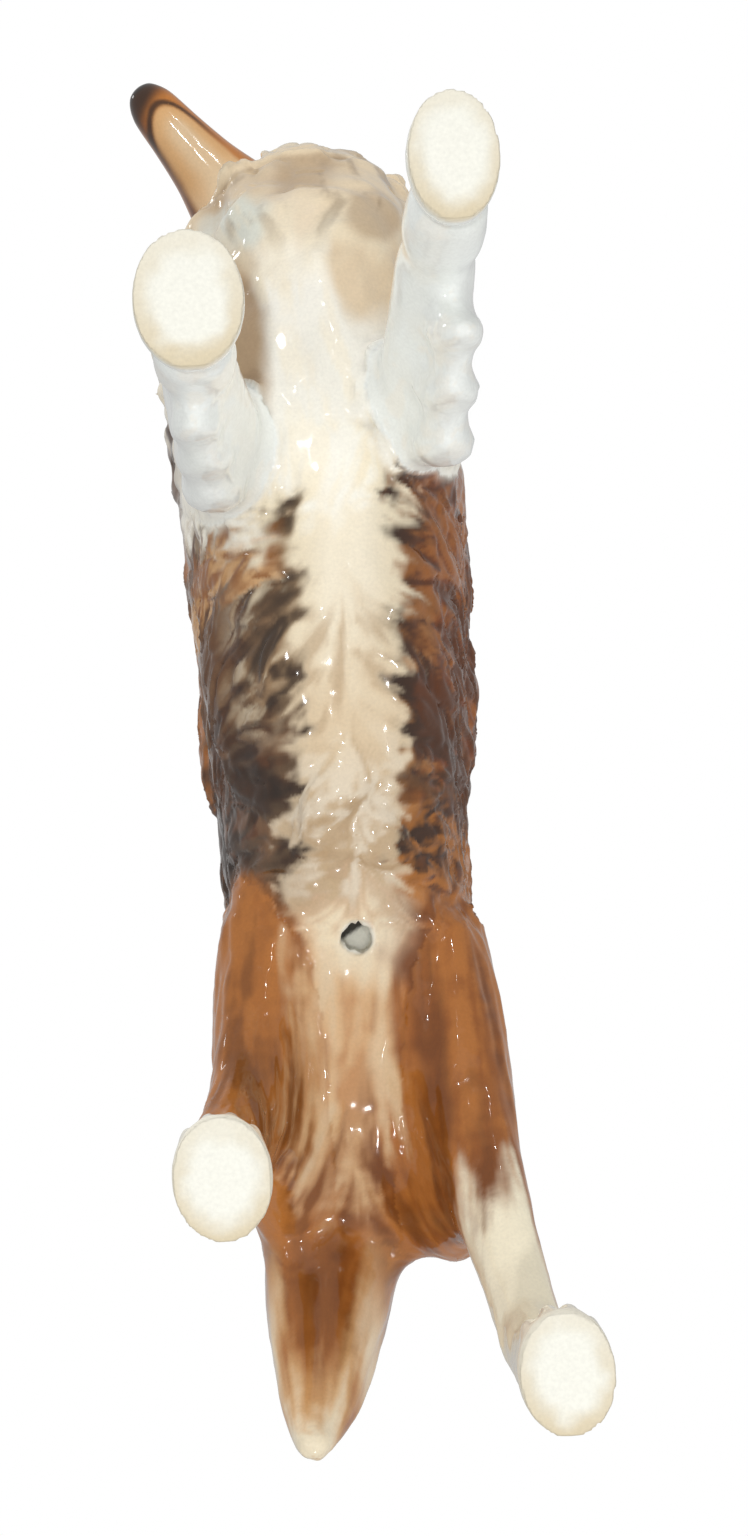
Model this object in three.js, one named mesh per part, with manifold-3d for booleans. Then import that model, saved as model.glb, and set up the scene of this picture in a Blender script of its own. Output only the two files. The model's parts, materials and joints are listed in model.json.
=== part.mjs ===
// Standing rough collie figurine, slip cast in china as separate castings that are stuck together with slip.
// Millimetres, +Z up. The dog looks along -Y, its left side is +X, and its paws stand on Z = 0.
// Each casting is a loft through ribs, as an animal is drawn: a line along its back, a line along its
// underside and a width between them. Head, ears, legs and tail are coped to the surface that carries them,
// and a thin film of slip lies in each coped joint.
import * as THREE from "three";
import { mergeVertices } from "three/addons/utils/BufferGeometryUtils.js";
import Module from "manifold-3d";

const wasm = await Module();
wasm.setup();

// Casting and sticking-up
const CAST_WALL = 3.2;
const VENT_DIAMETER = 3.8;
const VENT_Y = 21.5;
const SLIP_THICKNESS = 0.4;
const SLIP_CLEARANCE = 0.3;

// Trunk over the coat, from the mane's collar to the rump. Each rib runs from the top line down to the
// underline, with places along Y and heights above the ground.
const COLLAR = { topY: -62, top: 114, underY: -85, under: 99, width: 26 };
const NECK = { topY: -51, top: 108, underY: -86, under: 84, width: 39 };
const MANE = { topY: -40, top: 101, underY: -84, under: 65, width: 43 };
const SHOULDER = { topY: -27, top: 97, underY: -65, under: 48, width: 40 };
const BRISKET = { topY: -10, top: 95, underY: -30, under: 41, width: 37 };
const BELLY = { topY: 12, top: 94, underY: 2, under: 43, width: 33.5 };
const LOIN = { topY: 32, top: 94, underY: 24, under: 48.5, width: 32.5 };
const CROUP = { topY: 50, top: 91, underY: 44, under: 48, width: 32 };
const RUMP = { topY: 63, top: 85, underY: 56, under: 53, width: 26 };
const COLLAR_DOME = 4;
const RUMP_DOME = 7;
const NAPE_DOME = 4.5;
const COLLAR_TURN = THREE.MathUtils.degToRad(18);
const TRUNK_WIDEST = 0.55;
const OVAL_POWER = 0.9;

// Coat: broad locks in staggered rows round the trunk, from the mane to the loin, each one lying back and
// down along the surface. A row's place and a lock's reach are shares of the way along the trunk.
const COAT_ROWS = 8;
const COAT_FIRST_ROW = 0.05;
const COAT_LAST_ROW = 0.82;
const COAT_ROUND = 9;
const COAT_REACH = 0.12;
const COAT_SWEEP = 0.3;
const COAT_BELLY = -0.6;
const COAT_SINK = 1.4;
const COAT_CLEARANCE = 1.2;
const COAT_DOME = 0.6;
const COAT_LOCK = {
  root: { along: 0, rise: -0.4, width: 7 },
  belly: { along: 0.45, rise: 1.1, width: 11 },
  lower: { along: 0.8, rise: 1.5, width: 8 },
  tip: { along: 1, rise: 0.9, width: 3 },
};

// Head: ribs along the line from the back of the skull to the nose, as distance forward, rise and drop from
// that line, and width. The occiput is set ahead of the top of the collar.
const HEAD_TURN = THREE.MathUtils.degToRad(38);
const HEAD_DROP = THREE.MathUtils.degToRad(6);
const OCCIPUT_SET = { side: 2.5, ahead: 13.5, drop: 1 };
const OCCIPUT = new THREE.Vector3(
  OCCIPUT_SET.side,
  COLLAR.topY - OCCIPUT_SET.ahead,
  COLLAR.top - OCCIPUT_SET.drop,
);
const NAPE = { forward: -2, rise: 5.5, drop: 9, width: 17 };
const CHEEK = { forward: 6, rise: 8, drop: 11, width: 22 };
const BROW = { forward: 14, rise: 8.2, drop: 9.8, width: 19 };
const STOP = { forward: 20, rise: 6.4, drop: 8.2, width: 14.5 };
const BRIDGE = { forward: 26, rise: 4.5, drop: 6.8, width: 11 };
const MUZZLE = { forward: 33, rise: 3.9, drop: 5.6, width: 8.8 };
const LIPS = { forward: 38.5, rise: 3.4, drop: 4.4, width: 7.6 };
const CHIN = { forward: 41, rise: 2.2, drop: 2.8, width: 5.4 };
const MUZZLE_DOME = 1.2;
const NOSE_WIDTH = 5;
const EYE_DIAMETER = 3.2;
const EYE_SPREAD = 6.4;
const EYE_RISE = 3.6;
const EYE_FORWARD = 19;
const NOSE_FORWARD = 40;
const NOSE_RISE = 1.2;

// Ears: ribs of a leaf that is turned outward and folds forward at its tip, as its lean forward, its place
// out from the middle and above the occiput, and its width
const EAR_FORWARD = 4.5;
const EAR_TURN = THREE.MathUtils.degToRad(38);
const EAR_RIBS = {
  root: { lean: 0, out: 5.8, rise: 4.6, width: 12 },
  middle: { lean: 0.3, out: 7, rise: 9.6, width: 10 },
  fold: { lean: 1.4, out: 7.8, rise: 13.2, width: 6.4 },
  tip: { lean: 4.6, out: 8, rise: 12.6, width: 2.4 },
};
const EAR_THICKNESS = 3.2;
const EAR_DOME = 0.8;

// Paws: each one's centre on the ground, and what the four share
const LEFT_FOREPAW = { x: 12, y: -62, width: 10, length: 14 };
const RIGHT_FOREPAW = { x: -16, y: -49, width: 12, length: 14.8 };
const LEFT_HIND_PAW = { x: 16, y: 63, width: 10.4, length: 13.4 };
const RIGHT_HIND_PAW = { x: -18, y: 41, width: 10.8, length: 13.4 };
const PAW_HEIGHT = 6.2;
const PAD_RISE = 1.2;
const TOE_COUNT = 4;
const TOE_WIDTH = 3.6;
const TOE_HEIGHT = 6.4;
const TOE_LENGTH = 6.2;
const TOE_RISE = 3.4;
const TOE_ARC = 1.3;
const TOE_INSET = 2.5;
const SOLE_RECESS = 0.4;
const SOLE_RIM = 1.9;
const HEEL_TO_ANKLE = 3;

// Legs: ribs from the body down, as height, reach behind and ahead of the limb's middle, width, the share of
// the paw's step that the rib has taken, and how far it stands out
const SHOULDER_PLACE = new THREE.Vector2(11.6, -39);
const FORE_RIBS = {
  shoulder: { height: 64, behind: 12, ahead: 11, width: 13, step: 0 },
  elbow: { height: 48, behind: 8.5, ahead: 7, width: 11, step: 0.32 },
  forearm: { height: 34, behind: 6, ahead: 5.2, width: 10.4, step: 0.6 },
  wrist: { height: 21, behind: 4.8, ahead: 4.8, width: 9.2, step: 0.86 },
  ankle: { height: 7, behind: 4.4, ahead: 4.6, width: 8.6, step: 1 },
};
const HIP_PLACE = new THREE.Vector2(9.5, 37);
const HIND_RIBS = {
  hip: { height: 75, behind: 19, ahead: 16, width: 13, step: -0.6 },
  thigh: { height: 63, behind: 27, ahead: 27, width: 17.6, step: 0.06 },
  stifle: { height: 52, behind: 22, ahead: 24, width: 16, step: 0.2 },
  knee: { height: 44, behind: 10, ahead: 12, width: 10.4, step: 0.46, out: 0.6 },
  shin: { height: 35, behind: 5.6, ahead: 6.2, width: 8.2, step: 0.82, out: 0.3 },
  hock: { height: 27, behind: 4.8, ahead: 5, width: 7.4, step: 1.06 },
  shank: { height: 16, behind: 4.2, ahead: 4.2, width: 7.4, step: 1.03 },
  ankle: { height: 7, behind: 4.2, ahead: 4.8, width: 8.2, step: 1 },
};
const LEG_DOME = 3;

// Feathering: locks that hang one over the other down the back of each foreleg
const FEATHER_LOCKS = 3;
const FEATHER_TOP = 49;
const FEATHER_BOTTOM = 28;
const FEATHER_TAPER = 0.4;
const FEATHER_SEAT = 2.6;
const FEATHER_OUT = 1.7;
const LOCK_RIBS = {
  root: { back: -4, down: 0, width: 6.4, depth: 5.5 },
  belly: { back: -0.6, down: 8, width: 8.4, depth: 7.2 },
  lower: { back: 0.8, down: 14.5, width: 7, depth: 5.2 },
  tip: { back: 1.4, down: 18, width: 3.6, depth: 2.4 },
};
const LOCK_DOME = 0.8;

// Tail: a plume along the line from its root to its tip, as the share of that line, width, and reach behind
// and ahead of it, where it runs into the breeches
const TAIL_ROOT = new THREE.Vector3(-3, 59, 78);
const TAIL_TIP = new THREE.Vector3(-10, 81, 33);
const TAIL_BOW = new THREE.Vector3(0, 3, 0);
const TAIL_RIBS = {
  root: { along: 0, width: 14, behind: 6, ahead: 6 },
  upper: { along: 0.25, width: 19, behind: 8, ahead: 11 },
  plume: { along: 0.5, width: 16.4, behind: 7, ahead: 14 },
  lower: { along: 0.76, width: 11, behind: 5, ahead: 6.5 },
  tip: { along: 0.95, width: 5, behind: 2.5, ahead: 2.5 },
};
const TAIL_DOME = 2.5;

// Facets
const RINGS_PER_RIB = 2;
const DOME_RINGS = 3;
const TRUNK_SIDES = 30;
const CAVITY_SIDES = 16;
const HEAD_SIDES = 20;
const LIMB_SIDES = 16;
const EAR_SIDES = 12;
const LOCK_SIDES = 10;
const COAT_SIDES = 6;
const BLOB_SIDES = 10;
const PAD_SIDES = 18;

// Glazes, as the surfaces look
const glaze = (color, roughness = 0.15) => new THREE.MeshStandardMaterial({ color, roughness, metalness: 0 });
const SABLE = glaze(0x8a4a22);
const WHITE = glaze(0xeee6d8);
const BISCUIT = glaze(0xe6dcc8, 0.8);

const { lerp } = THREE.MathUtils;
const ACROSS = new THREE.Vector3(1, 0, 0);
const UPRIGHT = new THREE.Vector3(0, 0, 1);

// A closed mesh as a solid, and a solid as a mesh's geometry
function solidOf(geometry) {
  const bare = geometry.clone();
  bare.deleteAttribute("normal");
  bare.deleteAttribute("uv");
  const merged = mergeVertices(bare, 1e-4);
  const mesh = new wasm.Mesh({
    numProp: 3,
    vertProperties: merged.attributes.position.array,
    triVerts: new Uint32Array(merged.index.array),
  });
  return new wasm.Manifold(mesh);
}

function geometryOf(solid) {
  const { vertProperties, triVerts } = solid.getMesh();
  const geometry = new THREE.BufferGeometry();
  geometry.setAttribute("position", new THREE.BufferAttribute(vertProperties, 3));
  geometry.setIndex(new THREE.BufferAttribute(triVerts, 1));
  geometry.computeVertexNormals();
  return geometry;
}

function largestBody(solid) {
  return solid.decompose().reduce((most, body) => (body.volume() > most.volume() ? body : most));
}

function union(solids) {
  return solids.reduce((sum, solid) => sum.add(solid));
}

// One rib of a loft: a point on the back line, one on the underline, and half the width as a vector.
// Its widest place is given as a share of the way up from the underline.
function rib(back, under, width, across = ACROSS, widest = 0.5) {
  return { back, under, half: across.clone().multiplyScalar(width / 2), widest };
}

// A circle's cosine or sine, drawn out towards the corners so that the oval is fuller
function full(wave) {
  return Math.sign(wave) * Math.abs(wave) ** OVAL_POWER;
}

// A point of the oval through a rib, swollen by grow and drawn in by share, and the oval's centre
function ovalPoint({ back, under, half, widest }, angle, grow, share = 1) {
  const swell = back.clone().sub(under).setLength(grow);
  const top = back.clone().add(swell);
  const bottom = under.clone().sub(swell);
  const centre = bottom.clone().lerp(top, widest);
  const out = half.clone().setLength((half.length() + grow) * share);
  const rise = Math.sin(angle) > 0 ? top.clone().sub(centre) : centre.clone().sub(bottom);
  const point = centre.clone().addScaledVector(out, full(Math.cos(angle)));
  return { point: point.addScaledVector(rise, full(Math.sin(angle)) * share), centre };
}

// The rib at any share of the way along a row of ribs
function ribAlong(ribs) {
  const curve = (pick) => new THREE.CatmullRomCurve3(ribs.map(pick));
  const backs = curve((r) => r.back);
  const unders = curve((r) => r.under);
  const halves = curve((r) => r.half);
  const { widest } = ribs[0];
  return (t) => ({ back: backs.getPoint(t), under: unders.getPoint(t), half: halves.getPoint(t), widest });
}

// A closed loft through its ribs with rounded ends, all of it swollen by grow
function loft(ribs, { around, domes, grow = 0, ringsPerRib = RINGS_PER_RIB }) {
  const ribAt = ribAlong(ribs);
  const steps = (ribs.length - 1) * ringsPerRib;
  const ringAt = (t, share, slide) => {
    const at = ribAt(t);
    const angles = Array.from({ length: around }, (_, i) => (i / around) * 2 * Math.PI);
    const ring = angles.map((angle) => ovalPoint(at, angle, grow, share).point.add(slide));
    return { ring, centre: ovalPoint(at, 0, grow).centre };
  };
  const onward = (t) => {
    const { back, under, half } = ribAt(t);
    return back.clone().sub(under).cross(half).normalize();
  };
  const dome = (t, height) => {
    const axis = onward(t).multiplyScalar(height + Math.sign(height) * grow);
    const rings = [];
    for (let i = 1; i < DOME_RINGS; i++) {
      const turn = (i / DOME_RINGS) * (Math.PI / 2);
      rings.push(ringAt(t, Math.cos(turn), axis.clone().multiplyScalar(Math.sin(turn))).ring);
    }
    return { rings, pole: ringAt(t, 1, axis).centre.add(axis) };
  };
  const start = dome(0, -domes[0]);
  const end = dome(1, domes[1]);
  const rings = start.rings.reverse();
  for (let i = 0; i <= steps; i++) rings.push(ringAt(i / steps, 1, new THREE.Vector3()).ring);
  rings.push(...end.rings);
  return solidOf(skin(start.pole, rings, end.pole));
}

// Triangles between neighbouring rings, closed by a fan at either end
function skin(first, rings, last) {
  const around = rings[0].length;
  const points = [first, ...rings.flat(), last];
  const at = (ring, i) => 1 + ring * around + (i % around);
  const index = [];
  for (let i = 0; i < around; i++) {
    index.push(0, at(0, i), at(0, i + 1));
    for (let ring = 0; ring + 1 < rings.length; ring++) {
      index.push(at(ring, i), at(ring + 1, i), at(ring, i + 1));
      index.push(at(ring, i + 1), at(ring + 1, i), at(ring + 1, i + 1));
    }
    index.push(points.length - 1, at(rings.length - 1, i + 1), at(rings.length - 1, i));
  }
  return new THREE.BufferGeometry().setFromPoints(points).setIndex(index);
}

function ellipsoid(centre, size, around = BLOB_SIDES) {
  const geometry = new THREE.SphereGeometry(0.5, around, around / 2);
  return solidOf(geometry.scale(size.x, size.y, size.z).translate(centre.x, centre.y, centre.z));
}

// Torso: one loft from the collar of the mane to the rump, hollow behind the shoulders, vented in the belly
function trunkRib({ topY, top, underY, under, width }, turn = 0) {
  const middle = (topY + underY) / 2;
  const place = (y, z) => {
    const turned = new THREE.Vector3(0, y - middle, z).applyAxisAngle(UPRIGHT, -turn);
    return turned.add(new THREE.Vector3(0, middle, 0));
  };
  const across = ACROSS.clone().applyAxisAngle(UPRIGHT, -turn);
  return rib(place(topY, top), place(underY, under), width, across, TRUNK_WIDEST);
}

const bodyRibs = [SHOULDER, BRISKET, BELLY, LOIN, CROUP, RUMP].map((r) => trunkRib(r));
const maneRibs = [trunkRib(COLLAR, COLLAR_TURN), trunkRib(NECK, COLLAR_TURN / 2), trunkRib(MANE)];

function trunk(grow) {
  return loft([...maneRibs, ...bodyRibs], { around: TRUNK_SIDES, domes: [COLLAR_DOME, RUMP_DOME], grow });
}

// One lock of the coat: it leaves the trunk's surface, swells over it and ends in a blunt point
function coatLock(row, angle, grow) {
  const trunkAt = ribAlong([...maneRibs, ...bodyRibs]);
  const sweep = -COAT_SWEEP * Math.cos(angle);
  const ribs = Object.values(COAT_LOCK).map(({ along, rise, width }) => {
    const at = trunkAt(Math.min(row + along * COAT_REACH, 1));
    const turn = angle + along * sweep;
    const across = ovalPoint(at, turn - 0.1, 0).point.sub(ovalPoint(at, turn + 0.1, 0).point).normalize();
    return rib(ovalPoint(at, turn, rise).point, ovalPoint(at, turn, -COAT_SINK).point, width, across);
  });
  return loft(ribs, { around: COAT_SIDES, domes: [COAT_DOME, COAT_DOME], grow, ringsPerRib: 1 });
}

// The coat's locks, where they leave room for the castings that are stuck on
function coat(castings) {
  const locks = [];
  for (let i = 0; i < COAT_ROWS; i++) {
    const row = lerp(COAT_FIRST_ROW, COAT_LAST_ROW, i / (COAT_ROWS - 1));
    for (let k = 0; k < COAT_ROUND; k++) {
      const angle = ((k + (i % 2) / 2) / COAT_ROUND) * 2 * Math.PI;
      const onBelly = Math.sin(angle) < COAT_BELLY && row > COAT_FIRST_ROW;
      const room = (casting) => coatLock(row, angle, COAT_CLEARANCE).intersect(casting).isEmpty();
      if (!onBelly && castings.every(room)) locks.push(coatLock(row, angle, 0));
    }
  }
  return locks;
}

function torso(castings) {
  const cavity = loft(bodyRibs, { around: CAVITY_SIDES, domes: [CAST_WALL, RUMP_DOME], grow: -CAST_WALL });
  const depth = BELLY.top - BELLY.under;
  const drill = new THREE.CylinderGeometry(VENT_DIAMETER / 2, VENT_DIAMETER / 2, depth, PAD_SIDES);
  drill.rotateX(Math.PI / 2).translate(0, VENT_Y, BELLY.under);
  return union([trunk(0), ...coat(castings)]).subtract(cavity).subtract(solidOf(drill));
}

// Head: its own axes, and a point in them, forward from the occiput, to the side and up
const headLevel = new THREE.Vector3(-Math.sin(HEAD_TURN), -Math.cos(HEAD_TURN), 0);
const headAxis = headLevel.clone().multiplyScalar(Math.cos(HEAD_DROP)).setZ(-Math.sin(HEAD_DROP));
const headSide = headAxis.clone().cross(UPRIGHT).normalize();
const headUp = headSide.clone().cross(headAxis);

function headPoint(forward, side, up) {
  const point = OCCIPUT.clone().addScaledVector(headAxis, forward);
  return point.addScaledVector(headSide, side).addScaledVector(headUp, up);
}

function headSurface(grow) {
  const ribs = [NAPE, CHEEK, BROW, STOP, BRIDGE, MUZZLE, LIPS, CHIN].map(({ forward, rise, drop, width }) =>
    rib(headPoint(forward, 0, rise), headPoint(forward, 0, -drop), width, headSide),
  );
  return loft(ribs, { around: HEAD_SIDES, domes: [NAPE_DOME, MUZZLE_DOME], grow });
}

function head() {
  const eyeSize = new THREE.Vector3().setScalar(EYE_DIAMETER);
  const eyes = [-1, 1].map((side) => ellipsoid(headPoint(EYE_FORWARD, side * EYE_SPREAD, EYE_RISE), eyeSize));
  const noseSize = new THREE.Vector3().setScalar(NOSE_WIDTH);
  const nose = ellipsoid(headPoint(NOSE_FORWARD, 0, NOSE_RISE), noseSize);
  return union([headSurface(0), ...eyes, nose]);
}

// Ear: the leaf stands on the skull, leans outward and folds forward, its thickness square to its growth
function ear(side) {
  const outward = (axis) => axis.clone().applyAxisAngle(headUp, -side * EAR_TURN);
  const front = outward(headAxis);
  const back = front.clone().negate();
  const slanted = back.clone().add(headUp).normalize();
  const leafRib = ({ lean, out, rise, width }, backward) => {
    const centre = headPoint(EAR_FORWARD, side * out, rise).addScaledVector(front, lean);
    const thick = backward.clone().multiplyScalar(EAR_THICKNESS / 2);
    return rib(centre.clone().add(thick), centre.clone().sub(thick), width, outward(headSide));
  };
  const { root, middle, fold, tip } = EAR_RIBS;
  const ribs = [leafRib(root, back), leafRib(middle, back), leafRib(fold, slanted), leafRib(tip, headUp)];
  return loft(ribs, { around: EAR_SIDES, domes: [EAR_DOME, EAR_DOME] });
}

// Paw: a rounded pad with toes in front, ground flat underneath and hollowed inside a rim
function paw({ x, y, width, length }) {
  const padSize = new THREE.Vector3(width, length, 2 * (PAW_HEIGHT - PAD_RISE));
  const pad = ellipsoid(new THREE.Vector3(x, y, PAD_RISE), padSize, PAD_SIDES);
  const toeSize = new THREE.Vector3(TOE_WIDTH, TOE_LENGTH, TOE_HEIGHT);
  const toes = [];
  for (let i = 0; i < TOE_COUNT; i++) {
    const across = (2 * i) / (TOE_COUNT - 1) - 1;
    const ahead = (length - TOE_LENGTH) / 2 - TOE_ARC * across * across;
    const place = new THREE.Vector3(x + across * (width / 2 - TOE_INSET), y - ahead, TOE_RISE);
    toes.push(ellipsoid(place, toeSize));
  }
  return union([pad, ...toes]);
}

// What lies under the ground, and the shallow recess inside the rim of the sole
function underSole({ x, y, width, length }) {
  const span = length * 3;
  const ground = new THREE.BoxGeometry(span, span, span).translate(x, y, -span / 2);
  const recess = new THREE.CylinderGeometry(1, 1, 2 * SOLE_RECESS, PAD_SIDES).rotateX(Math.PI / 2);
  recess.scale(width / 2 - SOLE_RIM, length / 2 - SOLE_RIM, 1).translate(x, y, 0);
  return solidOf(ground).add(solidOf(recess));
}

// A leg's middle at a rib: from where it leaves the body towards the ankle over the paw
function legMiddle(place, foot, step) {
  const start = new THREE.Vector2(Math.sign(foot.x) * place.x, place.y);
  return start.lerp(new THREE.Vector2(foot.x, foot.y + HEEL_TO_ANKLE), step);
}

function legLoft(start, foot, legRibs, grow = 0) {
  const ribs = Object.values(legRibs).map(({ height, behind, ahead, width, step, out = 0 }) => {
    const { x, y } = legMiddle(start, foot, step);
    const place = (along) => new THREE.Vector3(x + Math.sign(foot.x) * out, y + along, height);
    return rib(place(behind), place(-ahead), width);
  });
  return loft(ribs, { around: LIMB_SIDES, domes: [LEG_DOME, LEG_DOME], grow });
}

// One lock of hair: it leaves the limb, swells and hangs to a blunt point behind
function lock(root, scale) {
  const ribs = Object.values(LOCK_RIBS).map(({ back, down, width, depth }) => {
    const centre = root.clone().add(new THREE.Vector3(0, back, -down).multiplyScalar(scale));
    const thick = new THREE.Vector3(0, (depth / 2) * scale, 0);
    return rib(centre.clone().add(thick), centre.clone().sub(thick), width * scale);
  });
  return loft(ribs, { around: LOCK_SIDES, domes: [LOCK_DOME, LOCK_DOME] });
}

// Foreleg: shoulder, forearm and pastern, with feathering down its back
function foreleg(foot) {
  const { elbow, ankle } = FORE_RIBS;
  const locks = [];
  for (let i = 0; i < FEATHER_LOCKS; i++) {
    const height = lerp(FEATHER_TOP, FEATHER_BOTTOM, i / (FEATHER_LOCKS - 1));
    const share = (elbow.height - height) / (elbow.height - ankle.height);
    const { x, y } = legMiddle(SHOULDER_PLACE, foot, lerp(elbow.step, ankle.step, share));
    const behind = lerp(elbow.behind, ankle.behind, share);
    const root = new THREE.Vector3(x + Math.sign(x) * FEATHER_OUT, y + behind - FEATHER_SEAT, height);
    locks.push(lock(root, 1 - FEATHER_TAPER * share));
  }
  const leg = legLoft(SHOULDER_PLACE, foot, FORE_RIBS);
  return union([leg, paw(foot), ...locks]).subtract(underSole(foot));
}

// Hind leg: a broad thigh inside the coat, the shin to the hock, and the upright shank
function hindLimb(foot, grow) {
  return legLoft(HIP_PLACE, foot, HIND_RIBS, grow);
}

function hindLeg(foot) {
  const leg = hindLimb(foot, 0);
  return union([leg, paw(foot)]).subtract(underSole(foot));
}

// Tail: a plume that hangs from the rump, bowed backward, and swings to the dog's right
function tail() {
  const ribs = Object.values(TAIL_RIBS).map(({ along, width, behind, ahead }) => {
    const bow = TAIL_BOW.clone().multiplyScalar(Math.sin(Math.PI * along));
    const { x, y, z } = TAIL_ROOT.clone().lerp(TAIL_TIP, along).add(bow);
    return rib(new THREE.Vector3(x, y + behind, z), new THREE.Vector3(x, y - ahead, z), width);
  });
  return loft(ribs, { around: LIMB_SIDES, domes: [TAIL_DOME, TAIL_DOME] });
}

// What the tail is stuck to: the rump and both thighs
function hindquarters(grow) {
  return union([trunk(grow), hindLimb(LEFT_HIND_PAW, grow), hindLimb(RIGHT_HIND_PAW, grow)]);
}

// A casting coped to the surface that carries it, with the film of slip that holds it there
function stuckOn(name, casting, carrier, material) {
  const seat = SLIP_CLEARANCE + SLIP_THICKNESS;
  const slip = casting.intersect(carrier(seat)).subtract(carrier(SLIP_CLEARANCE));
  const coped = casting.subtract(carrier(seat + SLIP_CLEARANCE));
  return [part(name, coped, material), part(`${name}_slip`, slip, BISCUIT)];
}

function part(name, solid, material) {
  const mesh = new THREE.Mesh(geometryOf(largestBody(solid)), material);
  mesh.name = name;
  return mesh;
}

const onTrunk = {
  head: head(),
  left_foreleg: foreleg(LEFT_FOREPAW),
  right_foreleg: foreleg(RIGHT_FOREPAW),
  left_hind_leg: hindLeg(LEFT_HIND_PAW),
  right_hind_leg: hindLeg(RIGHT_HIND_PAW),
  tail: tail(),
};

const figurine = new THREE.Group();
figurine.add(
  part("torso", torso(Object.values(onTrunk)), SABLE),
  ...stuckOn("head", onTrunk.head, trunk, SABLE),
  ...stuckOn("left_ear", ear(-1), headSurface, SABLE),
  ...stuckOn("right_ear", ear(1), headSurface, SABLE),
  ...stuckOn("left_foreleg", onTrunk.left_foreleg, trunk, WHITE),
  ...stuckOn("right_foreleg", onTrunk.right_foreleg, trunk, WHITE),
  ...stuckOn("left_hind_leg", onTrunk.left_hind_leg, trunk, SABLE),
  ...stuckOn("right_hind_leg", onTrunk.right_hind_leg, trunk, SABLE),
  ...stuckOn("tail", onTrunk.tail, hindquarters, SABLE),
);

// The origin is on the ground, under the middle of the whole figure
const bounds = new THREE.Box3().setFromObject(figurine);
const middle = bounds.getCenter(new THREE.Vector3());
figurine.position.set(-middle.x, -middle.y, -bounds.min.z);

export default figurine;
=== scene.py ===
"""Looks of a standing rough collie figurine in glazed china, made around its packed castings.

The castings are fused into one clay surface, dressed with locks of hair, scored with fine strands, painted
and cut apart again along their slip joints. Working lengths are millimetres about the figure's own zero,
which lies on the ground between the paws; X is the dog's left, Y its back end and Z up.
"""

import json
import logging
import math
from dataclasses import dataclass, field
from enum import Enum, IntEnum
from typing import ClassVar

import bmesh
import bpy
import numpy as np
from mathutils import Matrix, Vector
from mathutils.kdtree import KDTree


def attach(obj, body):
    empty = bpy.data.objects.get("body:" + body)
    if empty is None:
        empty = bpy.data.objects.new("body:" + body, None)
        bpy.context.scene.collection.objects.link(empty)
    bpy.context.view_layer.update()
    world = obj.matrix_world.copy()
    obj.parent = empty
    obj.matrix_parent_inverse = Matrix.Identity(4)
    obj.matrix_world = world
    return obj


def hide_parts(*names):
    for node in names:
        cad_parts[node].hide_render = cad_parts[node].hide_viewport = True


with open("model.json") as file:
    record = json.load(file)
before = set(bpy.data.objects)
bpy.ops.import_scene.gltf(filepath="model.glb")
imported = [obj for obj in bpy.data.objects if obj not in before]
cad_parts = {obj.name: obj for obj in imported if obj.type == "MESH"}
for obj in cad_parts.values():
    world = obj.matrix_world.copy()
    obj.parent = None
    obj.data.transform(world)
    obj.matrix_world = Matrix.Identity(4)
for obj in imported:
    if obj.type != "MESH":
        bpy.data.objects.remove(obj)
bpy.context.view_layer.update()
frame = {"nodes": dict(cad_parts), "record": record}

LOG = logging.getLogger("figurine")
Array = np.ndarray

MM = 0.001
TINY = 1e-9
# Place of the left fore sole's mount about the figure's own zero.
LEFT_FORE_RIM = np.array((12.0, -55.95, 0.0))
SOLE_MOUNT = next(m for m in frame["record"]["mounts"] if m["name"] == "left_fore_sole")
ZERO = np.array(SOLE_MOUNT["pos_m"]) / MM - LEFT_FORE_RIM
UP = np.array((0.0, 0.0, 1.0))
VENT = (0.0, 21.5)
BODY = "root"
# Factors, shifts and mask that stir a lattice cell's numbers into one random number.
CELL_FACTORS = (73856093, 19349663, 83492791)
SEED_FACTOR = 40503
STIRS = ((13, 1274126177), (15, 48271))
LOW_BITS = 0x7FFFFFFF


class Casting(IntEnum):
    """The castings that the figure is stuck together from."""

    TORSO = 0
    HEAD = 1
    LEFT_EAR = 2
    RIGHT_EAR = 3
    LEFT_FORELEG = 4
    RIGHT_FORELEG = 5
    LEFT_HIND_LEG = 6
    RIGHT_HIND_LEG = 7
    TAIL = 8

    @property
    def node(self) -> str:
        """Name of the CAD node of this casting."""
        return self.name.lower()

    @property
    def stands_for(self) -> list[str]:
        """CAD nodes that the finished casting stands for, its film of slip among them."""
        return [self.node] if self is Casting.TORSO else [self.node, f"{self.node}_slip"]


class Slot(Enum):
    """Material slots of the record."""

    SABLE = "sable_glaze"
    WHITE = "white_glaze"


FORELEGS = (Casting.LEFT_FORELEG, Casting.RIGHT_FORELEG)
HIND_LEGS = (Casting.LEFT_HIND_LEG, Casting.RIGHT_HIND_LEG)
EARS = (Casting.LEFT_EAR, Casting.RIGHT_EAR)


def unit(vectors: Array) -> Array:
    """Scale vectors to length one.

    Args:
        vectors: Rows of three numbers.

    Returns:
        The rows with length one, or zero where they had none.
    """
    return vectors / np.maximum(np.linalg.norm(vectors, axis=-1, keepdims=True), TINY)


def ramp(values: Array, start: float, end: float) -> Array:
    """Go smoothly from 0 at start to 1 at end.

    Args:
        values: Numbers to look up.
        start: Value that gives 0.
        end: Value that gives 1, which may be the lower of the two.

    Returns:
        Numbers from 0 to 1.
    """
    share = np.clip((values - start) / (end - start), 0.0, 1.0)
    return share * share * (3.0 - 2.0 * share)


def band(values: Array, low: float, high: float, soft: float) -> Array:
    """Be 1 between low and high and fall to 0 within soft outside of them.

    Args:
        values: Numbers to look up.
        low: Lower end of the band.
        high: Upper end of the band.
        soft: Width of the fall at either end.

    Returns:
        Numbers from 0 to 1.
    """
    return ramp(values, low - soft, low) * ramp(values, high + soft, high)


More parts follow.
